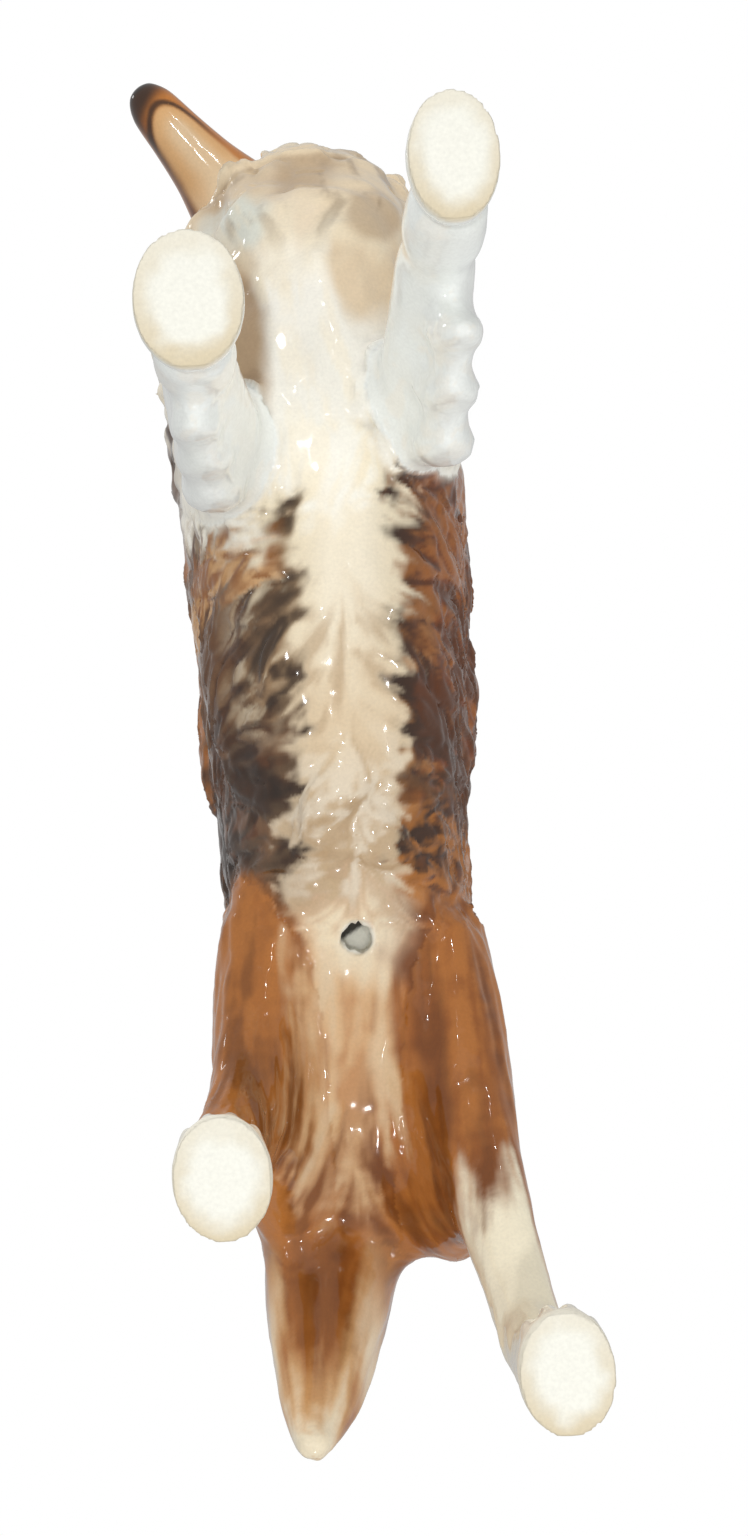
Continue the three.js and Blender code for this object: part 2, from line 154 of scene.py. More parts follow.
def scatter(cells: Array, seed: int) -> Array:
    """Give each lattice cell a fixed random number.

    Args:
        cells: Integer cells, three to a row.
        seed: Which set of numbers.

    Returns:
        Numbers from -1 to 1.
    """
    cells = cells.astype(np.int64)
    mixed = np.full(cells.shape[:-1], seed * SEED_FACTOR, np.int64)
    for axis, factor in enumerate(CELL_FACTORS):
        mixed = mixed ^ cells[..., axis] * factor
    for shift, factor in STIRS:
        mixed = (mixed ^ (mixed >> shift)) * factor & LOW_BITS
    return (mixed >> 8 & 0xFFFF) / 32767.5 - 1.0


def clouds(points: Array, grain: float, seed: int) -> Array:
    """Smooth random variation in space.

    Args:
        points: Places in millimetres.
        grain: Size of one blot.
        seed: Which variation.

    Returns:
        Numbers from -1 to 1.
    """
    scaled = points / grain
    cell = np.floor(scaled)
    share = scaled - cell
    share = share * share * (3.0 - 2.0 * share)
    total = np.zeros(len(points))
    for corner in np.ndindex(2, 2, 2):
        weight = np.prod(np.where(np.array(corner) == 1, share, 1.0 - share), axis=1)
        total += weight * scatter(cell + np.array(corner), seed)
    return total


def streaks(points: Array, lie: Array, grain: float, reach: float, seed: int) -> Array:
    """Random variation that is drawn out along the lie of the hair.

    Args:
        points: Places in millimetres.
        lie: Direction of the hair at each place.
        grain: Width of one streak.
        reach: Half the length of one streak.
        seed: Which variation.

    Returns:
        Numbers around 0 with a spread of one.
    """
    steps = np.arange(-reach, reach + grain, grain)
    total = sum(clouds(points + step * lie, grain, seed) for step in steps)
    return (total - total.mean()) / max(float(total.std()), TINY)


def linear(red: int, green: int, blue: int) -> Array:
    """A colour as a screen shows it, made linear by the sRGB curve.

    Args:
        red: 0 to 255.
        green: 0 to 255.
        blue: 0 to 255.

    Returns:
        Three linear numbers from 0 to 1.
    """
    share = np.array((red, green, blue)) / 255.0
    return np.where(share <= 0.04045, share / 12.92, ((share + 0.055) / 1.055) ** 2.4)


class Palette:
    """Underglaze colours that the figure is painted with."""

    WHITE = linear(250, 247, 237)
    COOL_WHITE = linear(247, 250, 246)
    PEARL = linear(253, 246, 229)
    IVORY = linear(253, 243, 216)
    CREAM = linear(243, 229, 200)
    BEIGE = linear(224, 200, 165)
    TAUPE = linear(178, 148, 112)
    GREY = linear(222, 225, 214)
    TAN = linear(220, 174, 120)
    AMBER = linear(200, 126, 52)
    CARAMEL = linear(184, 116, 54)
    RUSSET = linear(148, 86, 36)
    CHESTNUT = linear(120, 60, 20)
    DRAB = linear(126, 98, 70)
    SABLE = linear(90, 48, 20)
    UMBER = linear(58, 40, 28)
    BLACK = linear(36, 28, 23)
    BISCUIT = linear(250, 249, 238)
    RING = linear(224, 208, 174)
    EYE = linear(58, 34, 18)


@dataclass
class Clay:
    """A worked surface, with its points in millimetres about the figure's own zero.

    Attributes:
        points: Places of the points.
        quads: Four points to a face, outward.
        edges: Two points to an edge.
        valence: How many neighbours each point has.
    """

    points: Array
    quads: Array
    edges: Array
    valence: Array = field(init=False)

    def __post_init__(self) -> None:
        """Count each point's neighbours once."""
        self.valence = np.bincount(self.edges.ravel(), minlength=len(self.points)).astype(float)

    @classmethod
    def of_mesh(cls, mesh: bpy.types.Mesh) -> "Clay":
        """Read a mesh of quads.

        Args:
            mesh: Mesh with places in millimetres.

        Returns:
            The same surface as clay.
        """
        edges = np.empty(len(mesh.edges) * 2, np.int32)
        mesh.edges.foreach_get("vertices", edges)
        return cls(*quads_of(mesh), edges.reshape(-1, 2))

    def outer(self) -> "Clay":
        """The largest connected surface, without shut-in bubbles.

        Returns:
            That surface alone.
        """
        group = islands(len(self.points), self.edges)
        mine = group == np.argmax(np.bincount(group))
        number = np.cumsum(mine) - 1
        quads, edges = self.quads[mine[self.quads[:, 0]]], self.edges[mine[self.edges[:, 0]]]
        return Clay(self.points[mine], number[quads], number[edges])

    def around(self, values: Array) -> Array:
        """Mean of each point's neighbours.

        Args:
            values: One number, or one row, to a point.

        Returns:
            The means, in the same form.
        """
        if values.ndim > 1:
            return np.stack([self.around(column) for column in values.T], axis=1)
        first, second = self.edges.T
        count = len(self.points)
        total = np.bincount(first, values[second], count) + np.bincount(second, values[first], count)
        return total / np.maximum(self.valence, 1.0)

    def evened(self, values: Array, rounds: int) -> Array:
        """Spread values over the surface.

        Args:
            values: One number, or one row, to a point.
            rounds: How many times each point takes half of its neighbours' mean.

        Returns:
            The evened values.
        """
        for _ in range(rounds):
            values = 0.5 * values + 0.5 * self.around(values)
        return values

    def normals(self) -> Array:
        """Add up the faces round each point.

        Returns:
            Outward direction at each point.
        """
        corner = self.points[self.quads]
        face = np.cross(corner[:, 2] - corner[:, 0], corner[:, 3] - corner[:, 1])
        count = len(self.points)
        total = np.zeros((count, 3))
        for column in self.quads.T:
            for axis in range(3):
                total[:, axis] += np.bincount(column, face[:, axis], count)
        return unit(total)

    def polish(self, where: Array, rounds: int) -> None:
        """Sponge a part of the surface and leave the rest.

        Args:
            where: How much of the sponging each point takes, from 0 to 1.
            rounds: How many passes.
        """
        before = self.points.copy()
        self.sponge(rounds)
        self.points = before + where[:, None] * (self.points - before)

    def sponge(self, rounds: int, keep: float = 0.52) -> None:
        """Smooth the surface as a wet sponge does, without shrinking it.

        Args:
            rounds: How many passes.
            keep: Share that is given back after each pass.
        """
        for _ in range(rounds):
            self.points += 0.5 * (self.around(self.points) - self.points)
            self.points -= keep * (self.around(self.points) - self.points)

    def hollows(self, rounds: int = 12) -> Array:
        """How deep each point lies below its neighbourhood.

        Args:
            rounds: How far that neighbourhood reaches.

        Returns:
            Depths in millimetres, less than 0 on a ridge.
        """
        wide = self.evened(self.points, rounds)
        return np.einsum("ij,ij->i", wide - self.points, self.normals())


def quads_of(mesh: bpy.types.Mesh) -> tuple[Array, Array]:
    """Read the points and faces of a mesh of quads.

    Args:
        mesh: The mesh.

    Returns:
        Places of its points, and four points to a face.
    """
    points = np.empty(len(mesh.vertices) * 3, np.float32)
    mesh.vertices.foreach_get("co", points)
    corners = np.empty(len(mesh.loops), np.int32)
    mesh.loops.foreach_get("vertex_index", corners)
    return points.reshape(-1, 3).astype(float), corners.reshape(-1, 4)


def attribute(mesh: bpy.types.Mesh, name: str, kind: str, values: Array) -> None:
    """Give each point of a mesh a value.

    Args:
        mesh: The mesh.
        name: Name of the attribute, which is made if the mesh has none.
        kind: FLOAT, FLOAT_VECTOR or FLOAT_COLOR.
        values: A number or a row to a point.
    """
    entry = {"FLOAT": "value", "FLOAT_VECTOR": "vector", "FLOAT_COLOR": "color"}[kind]
    layer = mesh.attributes.get(name) or mesh.attributes.new(name, kind, "POINT")
    layer.data.foreach_set(entry, np.asarray(values, np.float32).ravel())


def placed(name: str, data: bpy.types.ID) -> bpy.types.Object:
    """Make an object and put it into the scene.

    Args:
        name: Name of the object.
        data: Its mesh, camera or light.

    Returns:
        The new object.
    """
    obj = bpy.data.objects.new(name, data)
    bpy.context.scene.collection.objects.link(obj)
    return obj


def add_node(
    tree: bpy.types.NodeTree, kind: str, values: dict[str | int, object] | None = None, **choices: object
) -> bpy.types.Node:
    """Add a node to a tree.

    Args:
        tree: The tree.
        kind: Type of the node.
        values: Values of its inputs.
        choices: Settings of the node itself.

    Returns:
        The new node.
    """
    node = tree.nodes.new(kind)
    for name, choice in choices.items():
        setattr(node, name, choice)
    for name, value in (values or {}).items():
        node.inputs[name].default_value = value
    return node


def mesh_object(name: str, points: Array, faces: list | Array) -> bpy.types.Object:
    """Put a mesh into the scene.

    Args:
        name: Name of the object and its mesh.
        points: Places of its points.
        faces: Points of each face.

    Returns:
        The new object.
    """
    mesh = bpy.data.meshes.new(name)
    mesh.from_pydata(points.tolist(), [], faces.tolist() if isinstance(faces, np.ndarray) else faces)
    return placed(name, mesh)


def settled(obj: bpy.types.Object) -> bpy.types.Mesh:
    """The mesh that an object's modifiers give, as a plain mesh.

    Args:
        obj: Object with modifiers.

    Returns:
        A new mesh with nothing left to compute.
    """
    depsgraph = bpy.context.evaluated_depsgraph_get()
    return bpy.data.meshes.new_from_object(obj.evaluated_get(depsgraph))


def cleared(*objects: bpy.types.Object) -> None:
    """Take working objects and their meshes out of the file.

    Args:
        objects: Objects that are no longer needed.
    """
    for obj in objects:
        mesh = obj.data
        bpy.data.objects.remove(obj)
        bpy.data.meshes.remove(mesh)


def fused(obj: bpy.types.Object, voxel: float) -> Clay:
    """Fuse everything in an object into one surface of small quads.

    Args:
        obj: Closed shells that may overlap; it is removed.
        voxel: Size of a quad in millimetres.

    Returns:
        The fused surface.
    """
    modifier = obj.modifiers.new("fuse", "REMESH")
    modifier.mode = "VOXEL"
    modifier.voxel_size = voxel
    mesh = settled(obj)
    clay = Clay.of_mesh(mesh).outer()
    bpy.data.meshes.remove(mesh)
    cleared(obj)
    return clay


def islands(count: int, links: Array) -> Array:
    """Number the connected groups of points.

    Args:
        count: How many points.
        links: Two connected points to a row.

    Returns:
        For each point, the lowest point of its group.
    """
    group = np.arange(count)
    while True:
        low = np.minimum(group[links[:, 0]], group[links[:, 1]])
        before = group.copy()
        np.minimum.at(group, group[links[:, 0]], low)
        np.minimum.at(group, group[links[:, 1]], low)
        np.minimum.at(group, links[:, 0], low)
        np.minimum.at(group, links[:, 1], low)
        group = group[group]
        if np.array_equal(group, before):
            return group


@dataclass
class Castings:
    """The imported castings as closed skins, and which casting a place belongs to.

    Attributes:
        vent: Middle of the vent hole on the ground plan.
        vent_radius: Radius of the vent hole.
        vent_top: Height at which the visible hole ends.
        swell: How far each skin is swollen so that the slip joints close.
        limb_swell: How far the upper parts of legs and tail are swollen, so that they flow into the body.
        limb_tops: Heights between which a limb goes over to that swell.
        deflations: Steps in which the swelling is taken back.
        limb_softening: How many times the upper parts of legs and tail are evened.
        under_softening: How many times the chest and belly are evened.
        rump_softening: How many times the rump and the root of the tail are evened.
        joint_softening: How many times the legs' joints are evened.
        rump_along: Places along Y between which the rump begins.
        rump_heights: Heights between which the rump begins.
        grid: Size of the quads of the fused surface.
        sample_area: Skin area for each place that the finder knows.
        seed: Which set of places the finder takes.
        skins: Points and triangles of each casting's skin.
    """

    vent: tuple[float, float] = VENT
    vent_radius: float = 1.9
    vent_top: float = 52.5
    swell: float = 0.56
    limb_swell: float = 2.0
    deflations: int = 5
    limb_softening: int = 10
    under_softening: int = 24
    rump_softening: int = 60
    joint_softening: int = 30
    limb_tops: dict[Casting, tuple[float, float]] = field(
        default_factory=lambda: {
            **dict.fromkeys(FORELEGS, (12.0, 18.0)),
            **dict.fromkeys(HIND_LEGS, (28.0, 38.0)),
            Casting.TAIL: (38.0, 50.0),
        }
    )
    rump_along: tuple[float, float] = (44.0, 54.0)
    rump_heights: tuple[float, float] = (38.0, 48.0)
    grid: float = 0.6
    sample_area: float = 0.7
    seed: int = 11
    skins: dict[Casting, tuple[Array, Array]] = field(default_factory=dict)

    def read(self) -> None:
        """Take each casting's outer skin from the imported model."""
        for casting in Casting:
            shape = bmesh.new()
            shape.from_mesh(frame["nodes"][casting.node].data)
            bmesh.ops.remove_doubles(shape, verts=shape.verts, dist=1e-6)
            points = np.array([v.co for v in shape.verts]) / MM - ZERO
            faces = np.array([[v.index for v in f.verts] for f in shape.faces])
            shape.free()
            if casting is Casting.TORSO:
                points, faces = self._outside(points, faces)
            self.skins[casting] = (points, faces)

    def _outside(self, points: Array, faces: Array) -> tuple[Array, Array]:
        """Close the torso's vent and leave its hollow out.

        Args:
            points: Places of the torso's points.
            faces: Its triangles.

        Returns:
            Points and triangles of the outer skin alone.
        """
        off_vent = np.linalg.norm(points[:, :2] - np.array(self.vent), axis=1) > self.vent_radius + 0.15
        kept = faces[off_vent[faces].any(axis=1)]
        links = np.concatenate((kept[:, :2], kept[:, 1:]))
        group = islands(len(points), links)
        foremost = kept[np.argmin(points[kept[:, 0], 1]), 0]
        skin = kept[group[kept[:, 0]] == group[foremost]]
        sides = np.concatenate((skin[:, (0, 1)], skin[:, (1, 2)], skin[:, (2, 0)]))
        known = {tuple(side) for side in sides.tolist()}
        rim = [side for side in known if side[::-1] not in known]
        middle = points[[side[0] for side in rim]].mean(axis=0)
        patch = np.array([(b, a, len(points)) for a, b in rim])
        return np.vstack((points, middle)), np.vstack((skin, patch))

    def _swelling(self, casting: Casting, height: Array) -> Array:
        """How far a casting's skin is swollen.

        Args:
            casting: The casting.
            height: Heights of places on its skin.

        Returns:
            One swell to a place.
        """
        if casting not in self.limb_tops:
            return np.full(len(height), self.swell)
        return self.swell + (self.limb_swell - self.swell) * ramp(height, *self.limb_tops[casting])

    def clay(self) -> tuple[Clay, Array]:
        """Fuse the skins into one surface, with the slip joints closed.

        Returns:
            The fused surface, and the casting of each of its points.
        """
        places, faces, start = [], [], 0
        for casting, (points, triangles) in self.skins.items():
            corner = points[triangles]
            face = np.cross(corner[:, 1] - corner[:, 0], corner[:, 2] - corner[:, 0])
            normal = np.zeros_like(points)
            for column in triangles.T:
                np.add.at(normal, column, face)
            places.append(points + self._swelling(casting, points[:, 2])[:, None] * unit(normal))
            faces.append(triangles + start)
            start += len(points)
        clay = fused(mesh_object("clay", np.vstack(places), np.vstack(faces)), self.grid)
        clay.sponge(3)
        owners = owners_of(clay.points, self)
        amount = np.zeros(len(owners))
        for casting in Casting:
            amount = np.where(owners == casting, self._swelling(casting, clay.points[:, 2]), amount)
        for _ in range(self.deflations):
            clay.points -= clay.evened(amount / self.deflations, 8)[:, None] * clay.normals()
            clay.sponge(1)
        _, y, z = clay.points.T
        limb = ramp(amount, self.swell, self.limb_swell)
        under = (owners == Casting.TORSO) * ramp(clay.normals()[:, 2], -0.25, -0.6)
        rump = ramp(y, *self.rump_along) * ramp(z, *self.rump_heights)
        tail = (owners == Casting.TAIL).astype(float)
        leg = clay.evened(np.isin(owners, FORELEGS + HIND_LEGS).astype(float), 16)
        softenings = (
            (np.maximum(limb, tail), self.limb_softening), (under, self.under_softening),
            (rump, self.rump_softening), (4.0 * leg * (1.0 - leg), self.joint_softening),
        )
        for share, rounds in softenings:
            share = clay.evened(share, 6)[:, None]
            clay.points += share * (clay.evened(clay.points, rounds) - clay.points)
        return clay, owners

    def in_vent(self, points: Array) -> Array:
        """Find the inside of the vent hole.

        Args:
            points: Places on the surface.

        Returns:
            1 inside the hole, falling to 0 at its rim.
        """
        away = np.linalg.norm(points[:, :2] - np.array(self.vent), axis=1)
        low = ramp(points[:, 2], self.vent_top + 5.0, self.vent_top + 3.0)
        return low * ramp(away, self.vent_radius + 0.5, self.vent_radius)

    def drill(self) -> bpy.types.Object:
        """The drill that sinks the visible vent hole.

        Returns:
            A closed cylinder.
        """
        shape = bmesh.new()
        radius, depth = self.vent_radius, 8.0 * self.vent_radius
        place = Matrix.Translation((*self.vent, self.vent_top - depth / 2.0))
        bmesh.ops.create_cone(
            shape, cap_ends=True, segments=32, radius1=radius, radius2=radius, depth=depth, matrix=place
        )
        mesh = bpy.data.meshes.new("drill")
        shape.to_mesh(mesh)
        shape.free()
        return placed("drill", mesh)

    def finder(self) -> tuple[KDTree, Array]:
        """Places all over the castings' skins, to look up which casting is nearest.

        Returns:
            The finder, and the casting of each of its places.
        """
        rng = np.random.default_rng(self.seed)
        places, owners = [], []
        for casting, (points, triangles) in self.skins.items():
            corner = points[triangles]
            first, second = corner[:, 1] - corner[:, 0], corner[:, 2] - corner[:, 0]
            area = np.linalg.norm(np.cross(first, second), axis=1) / 2.0
            picks = rng.choice(len(triangles), int(area.sum() / self.sample_area), p=area / area.sum())
            share = rng.random((len(picks), 2))
            share = np.where(share.sum(axis=1, keepdims=True) > 1.0, 1.0 - share, share)
            places.append(corner[picks, 0] + share[:, :1] * first[picks] + share[:, 1:] * second[picks])
            owners.append(np.full(len(picks), int(casting)))
        spots = np.vstack(places)
        tree = KDTree(len(spots))
        for index, spot in enumerate(spots):
            tree.insert(spot, index)
        tree.balance()
        return tree, np.concatenate(owners)


def owners_of(points: Array, castings: Castings) -> Array:
    """Find the casting that each place belongs to.

    Args:
        points: Places in millimetres.
        castings: The castings' skins.

    Returns:
        One casting number to a place.
    """
    tree, owners = castings.finder()
    return np.array([owners[tree.find(point)[1]] for point in points])


@dataclass(frozen=True)
class HeadFrame:
    """The head's own axes: forward along the muzzle, across, and up from the occiput.

    Attributes:
        occiput: Back of the skull.
        turn: Turn to the dog's right in degrees.
        drop: Nod in degrees.
    """

    occiput: tuple[float, float, float] = (2.5, -75.5, 113.0)
    turn: float = 38.0
    drop: float = 6.0

    def axes(self) -> tuple[Array, Array, Array]:
        """Work out where the head points.

        Returns:
            Forward, side and up directions of the head, the side toward the dog's right.
        """
        turn, drop = math.radians(self.turn), math.radians(self.drop)
        level = np.array((-math.sin(turn), -math.cos(turn), 0.0))
        forward = level * math.cos(drop) - UP * math.sin(drop)
        side = unit(np.cross(forward, UP))
        return forward, side, np.cross(side, forward)

    def locate(self, points: Array) -> tuple[Array, Array, Array]:
        """Give places in the head's own axes.

        Args:
            points: Places about the figure's zero.

        Returns:
            Distances forward, sideways and up.
        """
        away = points - np.array(self.occiput)
        return tuple(away @ axis for axis in self.axes())


@dataclass(frozen=True)
class Fur:
    """One kind of lock on the coat.

    Attributes:
        name: Where it grows.
        spacing: Distance between neighbouring locks.
        length: Length of a lock.
        width: Width of a lock.
        rise: How far a lock stands off the skin.
        seed: Which arrangement.
    """

    name: str
    spacing: float
    length: float
    width: float
    rise: float
    seed: int


class Coat(Enum):
    """The kinds of lock, from the mane to the tail."""

    MANE = Fur("mane", spacing=6.0, length=15.0, width=4.0, rise=0.5, seed=3)
    FRINGE = Fur("fringe", spacing=5.2, length=12.0, width=4.6, rise=0.55, seed=5)
    SADDLE = Fur("saddle", spacing=5.4, length=13.0, width=4.0, rise=0.5, seed=7)
    BIB = Fur("bib", spacing=8.0, length=11.0, width=5.5, rise=0.3, seed=9)
    TUFT = Fur("tuft", spacing=5.0, length=14.0, width=6.5, rise=1.5, seed=19)
    BREECHES = Fur("breeches", spacing=7.5, length=22.0, width=4.0, rise=0.28, seed=13)
    PLUME = Fur("plume", spacing=6.0, length=18.0, width=3.4, rise=0.28, seed=17)


@dataclass
class CoatMap:
    """Where each kind of lock grows, and which way the hair lies.

    Attributes:
        clay: The surface.
        owners: Casting of each point.
        head: The head's axes.
        lies: Main direction of the hair on each casting.
        outward: How strongly the belly's fringe turns outward.
        wander: How far the hair strays from its main direction, in radians.
    """

    clay: Clay
    owners: Array
    head: HeadFrame
    lies: dict[Casting, tuple[float, float, float]] = field(
        default_factory=lambda: {
            Casting.TORSO: (0.0, 0.72, -0.62),
            **dict.fromkeys(FORELEGS, (0.0, 0.3, -1.0)),
            **dict.fromkeys(HIND_LEGS, (0.0, 1.0, -0.35)),
            Casting.TAIL: (-7.0, 22.0, -45.0),
        }
    )
    outward: float = 3.0
    wander: float = 0.45

    def on(self, *castings: Casting) -> Array:
        """Mark the points of some castings with 1."""
        return np.isin(self.owners, [int(c) for c in castings]).astype(float)

    def lie(self) -> Array:
        """Which way the hair lies at each point, along the surface.

        Returns:
            One direction of length one to a point.
        """
        points, normal = self.clay.points, self.clay.normals()
        forward, _, up = self.head.axes()
        flow = np.zeros_like(points)
        for casting, way in self.lies.items():
            flow[self.owners == casting] = unit(np.array(way))
        flow[self.owners == Casting.HEAD] = unit(-forward - 0.25 * up)
        for ear in EARS:
            flow[self.owners == ear] = up
        fringe = self.on(Casting.TORSO) * band(normal[:, 2], -0.97, -0.25, 0.2)
        fringe = fringe * band(points[:, 1], -30, 16, 6)
        flow[:, 0] += self.outward * np.clip(points[:, 0] / 9.0, -1.0, 1.0) * fringe
        flow = self.clay.evened(flow, 8)
        flow = unit(flow - normal * np.einsum("ij,ij->i", flow, normal)[:, None])
        calm = 1.0 - 0.7 * ramp(points[:, 1], 14.0, 26.0)
        turn = self.wander * calm * (clouds(points, 9.0, 21) + 0.5 * clouds(points, 4.0, 22))
        across = np.cross(normal, flow)
        return unit(flow * np.cos(turn)[:, None] + across * np.sin(turn)[:, None])

    def room(self, coat: Coat) -> Array:
        """How thickly one kind of lock grows at each point.

        Args:
            coat: The kind of lock.

        Returns:
            Numbers from 0 to 1.
        """
        x, y, z = self.clay.points.T
        normal = self.clay.normals()
        torso = self.on(Casting.TORSO)
        clear = ramp(np.hypot(x - VENT[0], y - VENT[1]), 4.5, 7.0)
        edge = ramp(np.abs(x), 6.0, 8.0)
        if coat is Coat.MANE:
            return torso * ramp(y, -24, -34) * ramp(normal[:, 2], -0.55, -0.2)
        if coat is Coat.FRINGE:
            return torso * band(y, -32, 24, 5) * band(normal[:, 2], -0.95, 0.15, 0.12) * edge * clear
        if coat is Coat.SADDLE:
            return torso * band(y, -28, 46, 10) * ramp(normal[:, 2], 0.0, 0.25)
        if coat is Coat.BIB:
            return torso * band(y, -34, 16, 4) * ramp(normal[:, 2], -0.7, -0.85) * (1.0 - edge) * clear
        if coat is Coat.TUFT:
            return torso * ramp(np.hypot(x + 1.5, y - 7.0), 6.0, 4.0) * ramp(normal[:, 2], -0.7, -0.85)
        if coat is Coat.BREECHES:
            rump = torso * ramp(y, 26, 34) * ramp(normal[:, 2], 0.3, 0.1)
            return np.maximum(self.on(*HIND_LEGS) * ramp(z, 38, 46), rump) * clear * ramp(y, 52, 46)
        return self.on(Casting.TAIL) * ramp(y, 66, 70) * ramp(z, 42, 50)


class LockTree:
    """Geometry Nodes that lay locks of hair over a surface, each along the lie of the hair.

    Attributes:
        INPUTS: Name and kind of each input of the tree.
        DENSEST: Most locks that may be tried on a square millimetre.
        STRAY: How far a lock turns from the lie of the hair, in radians.
        WIDTHS: Least and greatest width, as shares of the one given.
        LENGTHS: Least and greatest length, as shares of the one given.
        RISES: Least and greatest rise, as shares of the one given.
    """

    INPUTS = {
        "Geometry": "Geometry", "Lock": "Object", "Spacing": "Float", "Length": "Float", "Width": "Float",
        "Rise": "Float", "Seed": "Int", "Material": "Material",
    }
    DENSEST = 4.0
    STRAY = (-0.3, 0.3)
    WIDTHS = (0.7, 1.2)
    LENGTHS = (0.75, 1.25)
    RISES = (0.6, 1.3)

    def __init__(self) -> None:
        """Build the tree once; every kind of lock uses it."""
        self.tree = bpy.data.node_groups.new("locks of hair", "GeometryNodeTree")
        face = self.tree.interface
        for name, kind in self.INPUTS.items():
            face.new_socket(name, in_out="INPUT", socket_type=f"NodeSocket{kind}")
        face.new_socket("Geometry", in_out="OUTPUT", socket_type="NodeSocketGeometry")
        self._wire()

    def _node(
        self, kind: str, values: dict[str | int, object] | None = None, **choices: object
    ) -> bpy.types.Node:
        """Add a node with the values of its inputs and its own choices."""
        return add_node(self.tree, kind, values, **choices)

    def _named(self, name: str, kind: str) -> bpy.types.NodeSocket:
        """Read a named attribute."""
        node = self._node("GeometryNodeInputNamedAttribute", {"Name": name}, data_type=kind)
        return node.outputs["Attribute"]

    def _random(self, low: float, high: float, salt: int, seed: bpy.types.NodeSocket) -> bpy.types.NodeSocket:
        """A random number for each lock.

        Args:
            low: Least value.
            high: Greatest value.
            salt: Which of the lock's numbers this is.
            seed: Socket with the arrangement's seed.

        Returns:
            The socket that gives the number.
        """
        number = self._node("FunctionNodeRandomValue", {2: low, 3: high}, data_type="FLOAT")
        add = self._node("ShaderNodeMath", {1: salt}, operation="ADD")
        self.tree.links.new(seed, add.inputs[0])
        self.tree.links.new(add.outputs[0], number.inputs["Seed"])
        return number.outputs[1]

    def _times(self, first: bpy.types.NodeSocket, second: bpy.types.NodeSocket) -> bpy.types.NodeSocket:
        """Multiply two numbers.

        Args:
            first: Output that gives one of them.
            second: Output that gives the other.

        Returns:
            Output that gives the product.
        """
        times = self._node("ShaderNodeMath", operation="MULTIPLY")
        self.tree.links.new(first, times.inputs[0])
        self.tree.links.new(second, times.inputs[1])
        return times.outputs[0]

    def _wire(self) -> None:
        """Join the nodes: spread, turn, size, realise."""
        link = self.tree.links.new
        given = self._node("NodeGroupInput")
        seed = given.outputs["Seed"]
        spread = self._node("GeometryNodeDistributePointsOnFaces", distribute_method="POISSON")
        spread.inputs["Density Max"].default_value = self.DENSEST
        link(given.outputs["Geometry"], spread.inputs["Mesh"])
        link(given.outputs["Spacing"], spread.inputs["Distance Min"])
        link(self._named("room", "FLOAT"), spread.inputs["Density Factor"])
        link(seed, spread.inputs["Seed"])
        stand = self._node("FunctionNodeAlignRotationToVector", axis="Z", pivot_axis="AUTO")
        along = self._node("FunctionNodeAlignRotationToVector", axis="Y", pivot_axis="Z")
        link(spread.outputs["Normal"], stand.inputs["Vector"])
        link(stand.outputs["Rotation"], along.inputs["Rotation"])
        link(self._named("lie", "FLOAT_VECTOR"), along.inputs["Vector"])
        spin = self._node("FunctionNodeAxisAngleToRotation", {"Axis": (0.0, 0.0, 1.0)})
        link(self._random(*self.STRAY, 1, seed), spin.inputs["Angle"])
        turned = self._node("FunctionNodeRotateRotation", rotation_space="LOCAL")
        link(along.outputs["Rotation"], turned.inputs["Rotation"])
        link(spin.outputs["Rotation"], turned.inputs["Rotate By"])
        size = self._node("ShaderNodeCombineXYZ", {"Z": 1.0})
        link(self._times(given.outputs["Width"], self._random(*self.WIDTHS, 2, seed)), size.inputs["X"])
        link(self._times(given.outputs["Length"], self._random(*self.LENGTHS, 3, seed)), size.inputs["Y"])
        tall = self._node("GeometryNodeStoreNamedAttribute", data_type="FLOAT", domain="POINT")
        tall.inputs["Name"].default_value = "tall"
        link(spread.outputs["Points"], tall.inputs["Geometry"])
        link(self._times(given.outputs["Rise"], self._random(*self.RISES, 4, seed)), tall.inputs["Value"])
        shape = self._node("GeometryNodeObjectInfo", transform_space="ORIGINAL")
        link(given.outputs["Lock"], shape.inputs["Object"])
        place = self._node("GeometryNodeInstanceOnPoints")
        link(tall.outputs["Geometry"], place.inputs["Points"])
        link(shape.outputs["Geometry"], place.inputs["Instance"])
        link(turned.outputs["Rotation"], place.inputs["Rotation"])
        link(size.outputs["Vector"], place.inputs["Scale"])
        real = self._node("GeometryNodeRealizeInstances")
        paint = self._node("GeometryNodeSetMaterial")
        result = self._node("NodeGroupOutput")
        link(place.outputs["Instances"], real.inputs["Geometry"])
        link(self._laid(real.outputs["Geometry"], given.outputs["Geometry"]), paint.inputs["Geometry"])
        link(given.outputs["Material"], paint.inputs["Material"])
        link(paint.outputs["Geometry"], result.inputs["Geometry"])

    def _laid(self, locks: bpy.types.NodeSocket, skin: bpy.types.NodeSocket) -> bpy.types.NodeSocket:
        """Bend realised locks so that they follow the skin under them.

        Args:
            locks: The locks, each flat where it was placed.
            skin: The surface with the attribute out.

        Returns:
            The locks, each point at its own level over the skin.
        """
        link = self.tree.links.new
        under = self._node("GeometryNodeProximity", target_element="FACES")
        outward = self._node("GeometryNodeSampleNearestSurface", data_type="FLOAT_VECTOR")
        lift = self._node("ShaderNodeVectorMath", operation="SCALE")
        move = self._node("GeometryNodeSetPosition")
        link(skin, under.inputs["Geometry"])
        link(skin, outward.inputs["Mesh"])
        link(self._named("out", "FLOAT_VECTOR"), outward.inputs["Value"])
        link(outward.outputs["Value"], lift.inputs[0])
        height = self._times(self._named("level", "FLOAT"), self._named("tall", "FLOAT"))
        link(height, lift.inputs["Scale"])
        link(locks, move.inputs["Geometry"])
        link(under.outputs["Position"], move.inputs["Position"])
        link(lift.outputs["Vector"], move.inputs["Offset"])
        return move.outputs["Geometry"]

